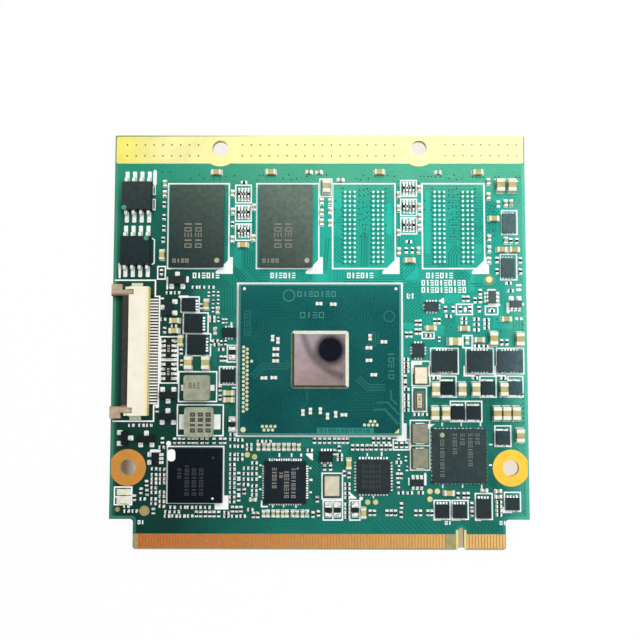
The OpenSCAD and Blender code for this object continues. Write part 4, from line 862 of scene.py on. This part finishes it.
for x0, x1 in ((13.5, 18.2), (26.7, 31.1), (39.7, 44.3), (53.1, 57.8)):
    ink.marks(x0, 45.35, x1, 46.3, pitch=0.78)
ink.marks(52.3, 44.1, 59.9, 45.05, pitch=0.74)
ink.marks(52.3, 42.9, 60.0, 43.85, pitch=0.74)
ink.marks(49.8, 41.9, 51.2, 42.8, pitch=0.7)
for x in (4.8, 55.9, 65.0):
    ink.marks(x, 4.15, x + 1.2, 4.8, pitch=0.6, stroke=0.14)

for box in (
        (20.7, 58.3, 23.35, 61.35), (20.7, 55.15, 23.35, 57.85), (20.7, 51.85, 23.35, 54.65),
        (48.85, 59.45, 51.55, 62.15), (48.85, 56.1, 51.55, 58.9), (48.85, 52.95, 51.55, 55.7),
        (66.0, 52.85, 68.6, 56.95), (65.7, 45.1, 68.45, 49.45), (58.15, 39.2, 60.85, 40.95),
        (63.05, 39.2, 65.15, 40.6), (59.2, 33.6, 60.75, 35.65), (52.35, 35.15, 54.35, 36.2),
        (54.15, 5.05, 56.8, 8.15), (57.15, 5.05, 59.8, 8.15), (61.0, 5.05, 63.8, 9.3),
        (65.85, 6.4, 68.5, 9.5), (35.5, 8.35, 38.9, 12.6), (35.7, 4.9, 37.3, 8.1), (37.3, 4.9, 38.9, 8.1),
        (40.1, 4.9, 41.8, 8.1), (50.25, 13.15, 53.5, 17.2), (50.25, 17.2, 53.5, 21.4),
        (50.6, 27.2, 53.6, 31.3), (50.65, 22.9, 53.0, 26.9), (53.75, 29.2, 58.4, 33.5),
        (59.7, 29.2, 64.3, 33.5), (64.85, 29.2, 69.4, 33.5), (55.3, 25.3, 58.0, 28.8),
        (62.0, 25.3, 64.7, 28.8), (66.7, 25.3, 69.2, 28.8), (57.0, 21.2, 59.55, 24.6),
        (59.55, 21.2, 62.25, 24.6), (64.4, 17.1, 67.05, 20.5), (9.6, 7.65, 19.05, 17.0),
        (0.85, 8.65, 3.75, 10.25), (0.85, 7.35, 3.75, 8.65), (11.35, 24.5, 17.75, 29.5),
        (11.2, 18.8, 18.9, 23.95), (11.6, 39.6, 14.65, 42.15), (12.0, 36.0, 16.2, 39.45),
        (12.55, 32.2, 16.65, 35.9), (18.2, 27.35, 21.1, 30.35), (8.2, 31.65, 11.15, 35.4),
        (8.2, 27.6, 11.15, 31.4), (19.5, 31.15, 21.1, 33.95), (47.4, 16.5, 50.1, 18.2),
        (7.55, 45.2, 8.85, 47.35), (35.05, 59.4, 37.1, 62.4)):
    ink.outline(*box)

# Thick marks at the first terminal, outside the lower left corner
for mark in (
        (53.35, 28.75, 2.1, 1.8, 0.45), (59.25, 28.75, 2.0, 1.8, 0.45), (64.4, 28.75, 2.0, 1.8, 0.45),
        (54.0, 4.85, 1.3, 1.0, 0.3), (57.0, 4.85, 1.5, 0.6, 0.3), (60.95, 4.8, 1.0, 0.6, 0.3),
        (65.5, 6.1, 1.6, 1.0, 0.45), (19.9, 6.6, -2.3, 2.3, 0.95), (50.45, 31.2, 1.85, -2.0, 0.5)):
    ink.corner(*mark)

ink.line([(0.3, 45.0), (7.2, 45.0), (7.2, 42.25), (7.95, 42.25), (7.95, 23.85), (7.2, 23.85), (7.2, 21.2),
          (0.3, 21.2)], 0.24)

for box in (
        (6.55, 61.3, 7.15, 64.0), (63.4, 43.15, 64.9, 43.55), (63.5, 40.65, 65.6, 41.1),
        (66.65, 39.4, 67.15, 41.3), (69.25, 40.7, 69.6, 41.2), (6.65, 16.0, 8.5, 16.5),
        (20.3, 26.7, 21.3, 26.95), (11.15, 42.0, 12.9, 42.4), (8.1, 41.75, 8.7, 42.05),
        (9.05, 43.4, 9.35, 45.6), (12.4, 44.6, 12.85, 45.7), (52.5, 10.6, 52.9, 12.7),
        (49.85, 10.6, 50.1, 11.9), (64.8, 62.2, 66.9, 62.5), (66.9, 61.9, 68.9, 62.2),
        (20.0, 36.4, 20.3, 37.9)):
    ink.round_bar(*box)
ink.outline(6.55, 59.75, 6.95, 61.2, 0.14)
ink.outline(6.55, 57.1, 6.95, 58.9, 0.16)
ink.line([(6.5, 52.2), (6.92, 51.9), (6.92, 47.9), (6.5, 47.7)], 0.2)
ink.polygon([(0.8, 47.9), (0.95, 45.35), (1.25, 45.35), (1.35, 47.9)])
for x, y, w, h in (
        (55.6, 20.75, 0.24, 0.6), (58.8, 20.8, 0.2, 0.7), (62.0, 20.75, 0.24, 0.6), (63.7, 17.4, 0.6, 0.24),
        (63.6, 14.0, 0.5, 0.24), (55.6, 10.5, 0.24, 0.6), (58.9, 10.5, 0.24, 0.5), (62.1, 10.5, 0.24, 0.6),
        (28.35, 15.6, 0.26, 0.6), (30.4, 15.6, 0.26, 0.6), (32.0, 15.6, 0.3, 0.5), (25.2, 13.9, 0.36, 0.28),
        (25.1, 12.0, 0.5, 0.3), (25.2, 9.95, 0.36, 0.28), (33.55, 13.45, 0.3, 0.3),
        (33.65, 11.5, 0.5, 0.36), (33.6, 9.45, 0.36, 0.3), (27.3, 7.2, 0.24, 0.5), (29.1, 7.2, 0.2, 0.5),
        (31.15, 7.15, 0.26, 0.5), (43.05, 15.7, 0.22, 0.5), (45.45, 15.8, 0.24, 0.7),
        (44.05, 8.7, 0.22, 0.4)):
    ink.bar(x - w / 2, y - h / 2, x + w / 2, y + h / 2)
ink.polygon([(32.9, 15.9), (33.95, 15.9), (33.95, 14.7), (33.6, 14.9), (32.75, 15.7)])
ink.corner(25.3, 6.95, 1.2, 1.15, 0.26)
ink.polygon([(55.2, 41.5), (55.95, 42.05), (56.1, 41.9), (56.1, 41.1), (55.95, 41.0)])
ink.polygon([(53.1, 19.9), (54.4, 20.8), (53.1, 20.8)])
ink.polygon([(40.2, 9.4), (41.2, 8.6), (41.2, 8.4), (40.2, 8.4)])
ink.disc(42.0, 8.45, 0.32)
ink.disc(9.8, 17.5, 0.42)

# Solder lands round the ends of the parts, with how far out they reach and the radius of their corners
LAND_THICK = 0.03
lands = Print("solder_lands", SOLDER, thick=LAND_THICK, slot="tin")
bright_lands = Print("bright_lands", BRIGHT_TIN, thick=LAND_THICK, slot="tin")


def grown(box, across, up=None):
    up = across if up is None else up
    return box[0] - across, box[1] - up, box[2] + across, box[3] + up


for sheet, name, out, r in (
        (lands, "large_capacitor_ends", 0.03, 0.06), (lands, "medium_capacitor_ends", 0.03, 0.06),
        (lands, "small_capacitor_ends", 0.05, 0.07), (lands, "resistor_ends", 0.05, 0.07),
        (bright_lands, "ffc_contacts", 0.03, 0.03)):
    for box in islands(name):
        sheet.round_bar(*grown(box, out), r=r, steps=2)
CLOSE_LEADS = 1.05  # leads nearer to each other than this have narrow lands
leads = islands("transistor_leads")
for lead in leads:
    x, y = (lead[0] + lead[2]) / 2, (lead[1] + lead[3]) / 2
    apart = min(math.hypot((a + c) / 2 - x, (b + d) / 2 - y) for a, b, c, d in leads if (a, b, c, d) != lead)
    out, r = (0.18, 0.14) if apart > CLOSE_LEADS else (0.02, 0.04)
    bright_lands.round_bar(*grown(lead, out), r=r, steps=2)
FLASH_MIDDLES = (59.3, 49.95)  # of the two flash chips, along Y
for x0, y0, x1, y1 in islands("flash_chip_leads"):
    middle = min(FLASH_MIDDLES, key=lambda y: abs(y - y0))
    low, high = (0.0, 0.4) if y0 > middle else (0.4, 0.0)
    bright_lands.round_bar(x0 - 0.1, y0 - low, x1 + 0.1, y1 + high, r=0.12, steps=2)
for box in islands("array_ends"):
    reach = (0.12, 0.03) if box[2] - box[0] > box[3] - box[1] else (0.03, 0.12)
    lands.round_bar(*grown(box, *reach), r=0.05, steps=2)
for x, y, w, h in (
        (68.3, 38.5, 0.5, 0.5), (69.1, 38.5, 0.5, 0.5), (68.75, 44.2, 0.9, 0.4), (68.75, 43.4, 0.9, 0.4),
        (65.5, 58.55, 0.6, 0.4), (65.5, 57.7, 0.6, 0.4), (59.65, 40.05, 0.45, 0.9), (64.1, 40.0, 0.3, 0.6)):
    lands.round_bar(x - w / 2, y - h / 2, x + w / 2, y + h / 2)

# The smallest resistors, mostly in the field between the converter chips and the processor
resistors = Print("micro_resistor_bodies", LOOKS["resistor_black"], thick=0.26, slot="resistor_black")
caps = Print("micro_resistor_ends", SOLDER, thick=0.28, slot="tin")
for x, y in (
        (17.1, 42.71), (17.88, 42.66), (17.07, 41.34), (17.89, 41.34), (16.28, 42.61), (17.01, 39.97),
        (17.96, 38.34), (18.78, 38.06), (19.28, 38.06), (18.5, 34.36), (19.23, 34.42), (16.8, 34.37),
        (48.27, 15.35), (49.47, 15.05), (48.32, 13.52), (49.63, 13.43), (55.2, 35.01)):
    resistors.bar(x - 0.16, y - 0.18, x + 0.16, y + 0.18)
    for end in (-0.3, 0.3):
        caps.round_bar(x - 0.2, y + end - 0.13, x + 0.2, y + end + 0.13, r=0.05, steps=2)


# Marks on the chips
def chip_print(name, look, node, slot, boxes=(), dots=(), thick=0.006, **sizes):
    """Print on the upper face of a node: marks that fill boxes, and dots with their place and radius."""
    sheet = Print(name, look, thick=thick, on=node, slot=slot)
    for box in boxes:
        sheet.marks(*box, **sizes)
    for dot in dots:
        sheet.disc(*dot)
    return sheet


for side, x in (("left", 0.0), ("right", 15.2)):
    chip = "memory_chip_" + side
    marks = chip_print("memory_marks_" + side, GREY_MARK, chip, "memory_mould",
                       [(12.2 + x, 50.4, 13.4 + x, 55.0), (14.0 + x, 50.4, 15.1 + x, 55.0)],
                       pitch=0.9, stroke=0.16)
    marks.marks(10.2 + x, 47.85, 13.1 + x, 48.55, pitch=0.75)
    chip_print("memory_dot_" + side, PIN_DOT, chip, "memory_mould", dots=[(17.7 + x, 48.25, 0.42, 24)])

chip_print("power_marks", POWER_MARK, "power_manager_body", "memory_mould",
           [(55.15, 12.1, 55.8, 18.4), (57.2, 15.9, 57.9, 19.4), (58.5, 17.4, 59.2, 19.4),
            (59.8, 13.9, 60.5, 19.4), (61.0, 17.5, 61.7, 19.4)], pitch=0.62, stroke=0.12)
chip_print("power_dot", PIN_DOT, "power_manager_body", "memory_mould", dots=[(55.5, 19.0, 0.4, 20)])
chip_print("bridge_marks", BRIDGE_MARK, "bridge_chip_body", "chip_mould",
           [(27.2, 10.2, 27.95, 13.7), (28.4, 11.9, 29.0, 13.0), (29.2, 8.6, 30.0, 13.2),
            (30.4, 8.6, 31.1, 13.7)], [(31.45, 13.45, 0.2)], pitch=0.6, stroke=0.16)
chip_print("control_marks", FAINT_MARK, "control_chip_body", "chip_mould",
           [(11.5, 11.8, 12.1, 13.6), (12.7, 9.0, 13.4, 14.2), (13.9, 9.0, 14.6, 13.6),
            (15.1, 9.0, 15.8, 13.6)], [(17.4, 15.2, 0.2)], pitch=0.66, stroke=0.14)
paint = chip_print("control_paint", WHITE_INK, "control_chip_body", "led_white")
paint.round_bar(9.75, 14.6, 11.1, 16.6, r=0.6, steps=6)
paint.disc(17.35, 8.5, 0.18)
chip_print("clock_marks", FAINT_MARK, "clock_chip_body", "chip_mould",
           [(42.2, y, 45.4, y + 0.5) for y in (13.6, 12.7, 11.9, 11.0, 10.2)], pitch=0.55, stroke=0.12)
chip_print("flash_dots", GREEN_DOT, "flash_chip_bodies", "chip_mould",
           dots=[(2.0, 57.15, 0.42, 20), (5.85, 51.95, 0.42, 20)])

substrate = chip_print("substrate_marks", TEAL_MARK, "cpu_substrate", "substrate", thick=0.004)
substrate.marks(31.3, 42.1, 38.0, 43.0, pitch=0.95, stroke=0.15)
substrate.marks(31.8, 38.5, 36.0, 39.5, pitch=0.95, stroke=0.12)
substrate.marks(46.6, 28.3, 47.5, 33.0, pitch=0.95, stroke=0.1)
substrate.ring(29.9, 42.3, 0.95, 0.14)
substrate.outline(21.65, 19.15, 48.55, 44.1, 0.22)
tracks = chip_print("substrate_tracks", TEAL_TRACK, "cpu_substrate", "substrate", thick=0.004)
tracks.outline(22.45, 35.55, 23.45, 39.65, 0.16)
tracks.marks(22.65, 35.8, 23.25, 39.4, pitch=0.6, stroke=0.14)
tracks.ring(46.75, 38.8, 0.9, 0.2)
for points in (
        [(41.4, 28.4), (43.2, 26.9), (46.0, 26.9)], [(42.6, 33.0), (44.4, 34.6), (44.4, 36.2)],
        [(23.8, 28.6), (25.6, 30.4), (29.4, 30.4), (30.0, 31.2)]):
    tracks.bundle(points, 3)
for points, w in (
        ([(44.0, 23.2), (46.0, 23.2), (48.2, 20.8)], 0.4), ([(44.6, 24.4), (46.4, 24.4), (48.3, 22.4)], 0.3),
        ([(47.0, 26.5), (47.0, 25.0), (48.0, 24.0)], 0.3),
        ([(33.0, 26.2), (33.0, 24.3), (32.3, 23.6)], 0.14)):
    tracks.line(points, w)
patch = chip_print("substrate_patch", PATCH, "cpu_substrate", "substrate")
patch.bar(34.6, 19.25, 44.1, 20.2)
chip_print("substrate_patch_marks", DARK_TEAL, "cpu_substrate", "substrate", [(35.1, 19.42, 43.6, 20.04)],
           thick=0.022, pitch=0.72, stroke=0.13)
chip_print("substrate_dots", WHITE_INK, "cpu_substrate", "led_white",
           dots=[(22.4, 43.45, 0.24), (47.9, 43.45, 0.24)])

array_marks = chip_print("array_marks", ARRAY_MARK, "array_bodies", "led_white")
for x0, y0, x1, y1 in islands("array_bodies"):
    x, y = (x0 + x1) / 2, (y0 + y1) / 2
    dx, dy = (0.62, 0.2) if x1 - x0 > y1 - y0 else (0.2, 0.62)
    array_marks.marks(x - dx, y - dy, x + dx, y + dy, pitch=0.42, stroke=0.11)
chip_print("choke_dashes", BLACK_MARK, "choke_bodies", "choke_ferrite",
           [(x, 19.4, x + 0.85, 22.9) for x in (13.6, 14.9, 16.2)], pitch=0.9, stroke=0.27)
chip_print("lid_marks", BROWN_MARK, "oscillator_lids", "lid_metal", [(51.55, 23.7, 51.95, 25.7)],
           pitch=0.5, stroke=0.13)
chip_print("choke_smudge", SMUDGE, "choke_bodies", "choke_ferrite", [(13.3, 26.7, 15.3, 27.7)],
           pitch=0.7, stroke=0.2)

for sheet in Print.sheets:
    sheet.build()


# Floor, light and world
FLOOR_REACH = 3.0  # from its middle, in metres
FLOOR_GAP = 0.0001  # under the object, in metres
FLOOR_MIDDLE = 0.02  # of the floor along Y, in metres
FLOOR_GLOW = 0.94  # share of its own white in what the camera sees of the floor
UNDER_BOARD = ((0.3, 6.0, 69.7, 69.7), (4.4, 0.0, 65.6, 6.0))  # floor that only holes and the slot show
SHARP = 0.01  # width of its edges
WORLD_LEVEL = 0.48  # how strong the even light is
BACKDROP = 0.97  # how white the backdrop round the floor is
BACKDROP_TOP = (0.15, 0.35)  # slope, as a sine, over which the backdrop fades out for gloss


def paper_look():
    """White paper, near its full white to camera, gloss and glass, and clear from below. Under the board its
    glow carries a painted shadow.
    """
    look = Look("floor_paper", roughness=0.9)
    look.colour(look.mix(look.blotch(400.0), (0.9, 0.9, 0.9), (0.92, 0.92, 0.92)))
    look.axes = look.split(look.add("ShaderNodeNewGeometry").outputs["Position"])
    inside = 0.0
    for x0, y0, x1, y1 in UNDER_BOARD:
        across, up = (look.math("MULTIPLY", look.along(axis, low, low + SHARP),
                                look.along(axis, high, high + SHARP, 1.0, 0.0))
                      for axis, low, high in (("X", x0, x1), ("Y", y0, y1)))
        inside = look.math("MAXIMUM", look.math("MULTIPLY", across, up), inside)
    # painted shadow under the board: dark brown at the left hole, paler and warmer further right and up,
    # browner at the slot
    hole_shadow = look.fade("X", 2.1, 4.2, (0.155, 0.105, 0.06), (0.56, 0.5, 0.46))
    low = look.fade("X", 8.0, 50.0, hole_shadow, (0.86, 0.79, 0.67))
    under = look.fade("Y", 20.0, 50.0, low, (0.94, 0.9, 0.84))
    under = look.fade("Y", 4.0, 6.0, (0.53, 0.42, 0.29), under)
    glow = look.add("ShaderNodeEmission", Strength=1.0, Color=look.mix(inside, (1.0, 1.0, 1.0), under))
    path = look.add("ShaderNodeLightPath").outputs
    seen = look.math("MAXIMUM", path["Is Camera Ray"], path["Is Glossy Ray"])
    seen = look.math("MAXIMUM", seen, path["Is Transmission Ray"])
    above = look.blend(look.math("MULTIPLY", seen, FLOOR_GLOW), look.shader.outputs[0], glow.outputs[0])
    below = look.add("ShaderNodeBsdfTransparent").outputs[0]
    look.show(look.blend(look.add("ShaderNodeNewGeometry").outputs["Backfacing"], above, below))
    return look.material


def make_floor():
    mesh = bmesh.new()
    bmesh.ops.create_grid(mesh, x_segments=1, y_segments=1, size=FLOOR_REACH)
    floor = add_mesh("floor", mesh, paper_look())
    floor.location = (0, FLOOR_MIDDLE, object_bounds()[0].z - FLOOR_GAP)


def make_world():
    """An even light, before which camera, glass and, low down, gloss see a white backdrop."""
    world = bpy.data.worlds.new("studio")
    bpy.context.scene.world = world
    graph = Graph(world)
    path = graph.add("ShaderNodeLightPath").outputs
    slope = graph.split(graph.add("ShaderNodeTexCoord").outputs["Generated"])["Z"]
    glossy = graph.math("MULTIPLY", graph.ramp(slope, *BACKDROP_TOP[::-1]), path["Is Glossy Ray"])
    seen = graph.math("MAXIMUM", path["Is Camera Ray"], path["Is Transmission Ray"])
    strength = graph.ramp(graph.math("MAXIMUM", seen, glossy), 0.0, 1.0, WORLD_LEVEL, BACKDROP)
    back = graph.add("ShaderNodeBackground", Color=(1.0, 1.0, 1.0, 1.0), Strength=strength)
    graph.add("ShaderNodeOutputWorld", Surface=back.outputs[0])


def soft_box(name, place, turn, width, height, radiance):
    """A level rectangular lamp that faces down."""
    data = bpy.data.lights.new(name, "AREA")
    data.shape = "RECTANGLE"
    data.size, data.size_y = width, height
    data.energy = radiance * math.pi * width * height
    lamp = add_object(name, data)
    lamp.location = place
    lamp.rotation_euler = (0, 0, turn)


def soft_black(name, edge_start, edge_end):
    """Black that thins out to nothing between two distances from the object's own middle, in mm."""
    look = Look(name, roughness=0.6, Specular_IOR_Level=0.1)
    look.colour(look.mix(look.blotch(2.0), (0.008, 0.013, 0.026), (0.016, 0.024, 0.046)))
    across, up = (look.math("POWER", look.axes[axis], 2.0) for axis in "XY")
    away = look.math("SQRT", look.math("ADD", across, up))
    clear = look.add("ShaderNodeBsdfTransparent").outputs[0]
    look.show(look.blend(look.ramp(away, edge_start * MM, edge_end * MM), look.shader.outputs[0], clear))
    return look.material


def veil_look(name, share):
    """A thin grey veil that hides a share of what lies behind it."""
    look = Look(name, roughness=0.8, Specular_IOR_Level=0.1)
    look.colour(look.mix(look.blotch(3.0), (0.03, 0.03, 0.035), (0.06, 0.06, 0.07)))
    clear = look.add("ShaderNodeBsdfTransparent").outputs[0]
    look.show(look.blend(share, clear, look.shader.outputs[0]))
    return look.material


def hang(name, mesh, place, look):
    """A stage piece over the part, which only mirrors show."""
    piece = add_mesh(name, mesh, look)
    piece.location = place
    piece.visible_camera = piece.visible_diffuse = piece.visible_shadow = False


OVERHEAD = 161.0  # height of what the polished die mirrors
LENS_PLACE, LENS_RADIUS = (37.6, 40.35), 6.4
LENS_EDGE = (3.7, 6.2)  # radii between which the lens thins out
STRAP = ((28.1, 46.6), (28.6, 45.2), (29.4, 42.6), (30.7, 39.8), (32.6, 37.1), (35.3, 34.7), (38.4, 33.0),
         (41.7, 31.6))
STRAP_SHIFT = (0.2, -0.5)
STRAP_WIDTHS = (3.0, 1.9, 1.0)  # of the veils over each other, which make its edges soft
STRAP_SHARE = 0.215  # of what lies behind it that each veil hides
VEIL_STEP = 0.2  # between one height and the next


def make_reflections():
    """The dark lens of a camera over the part and its strap, which the polished die mirrors."""
    lens = bmesh.new()
    bmesh.ops.create_circle(lens, cap_ends=True, segments=48, radius=LENS_RADIUS * MM)
    hang("lens", lens, on_board(*LENS_PLACE, OVERHEAD), soft_black("lens_black", *LENS_EDGE))
    veil = veil_look("strap_veil", STRAP_SHARE)
    for k, w in enumerate(STRAP_WIDTHS):
        strap = bmesh.new()
        sides = [[strap.verts.new(Vector((x * MM, y * MM, 0.0))) for x, y in beside(STRAP, reach, False)]
                 for reach in (w / 2, -w / 2)]
        for i in range(len(STRAP) - 1):
            strap.faces.new((sides[0][i], sides[1][i], sides[1][i + 1], sides[0][i + 1]))
        hang("strap_%d" % k, strap, on_board(*STRAP_SHIFT, OVERHEAD + VEIL_STEP * (k + 1)), veil)


make_floor()
make_world()
make_reflections()
soft_box("key_light", place=(0.217, 0.217, 0.45), turn=math.pi / 4, width=0.5, height=0.8, radiance=2.57)

bpy.context.scene.view_settings.view_transform = "Standard"
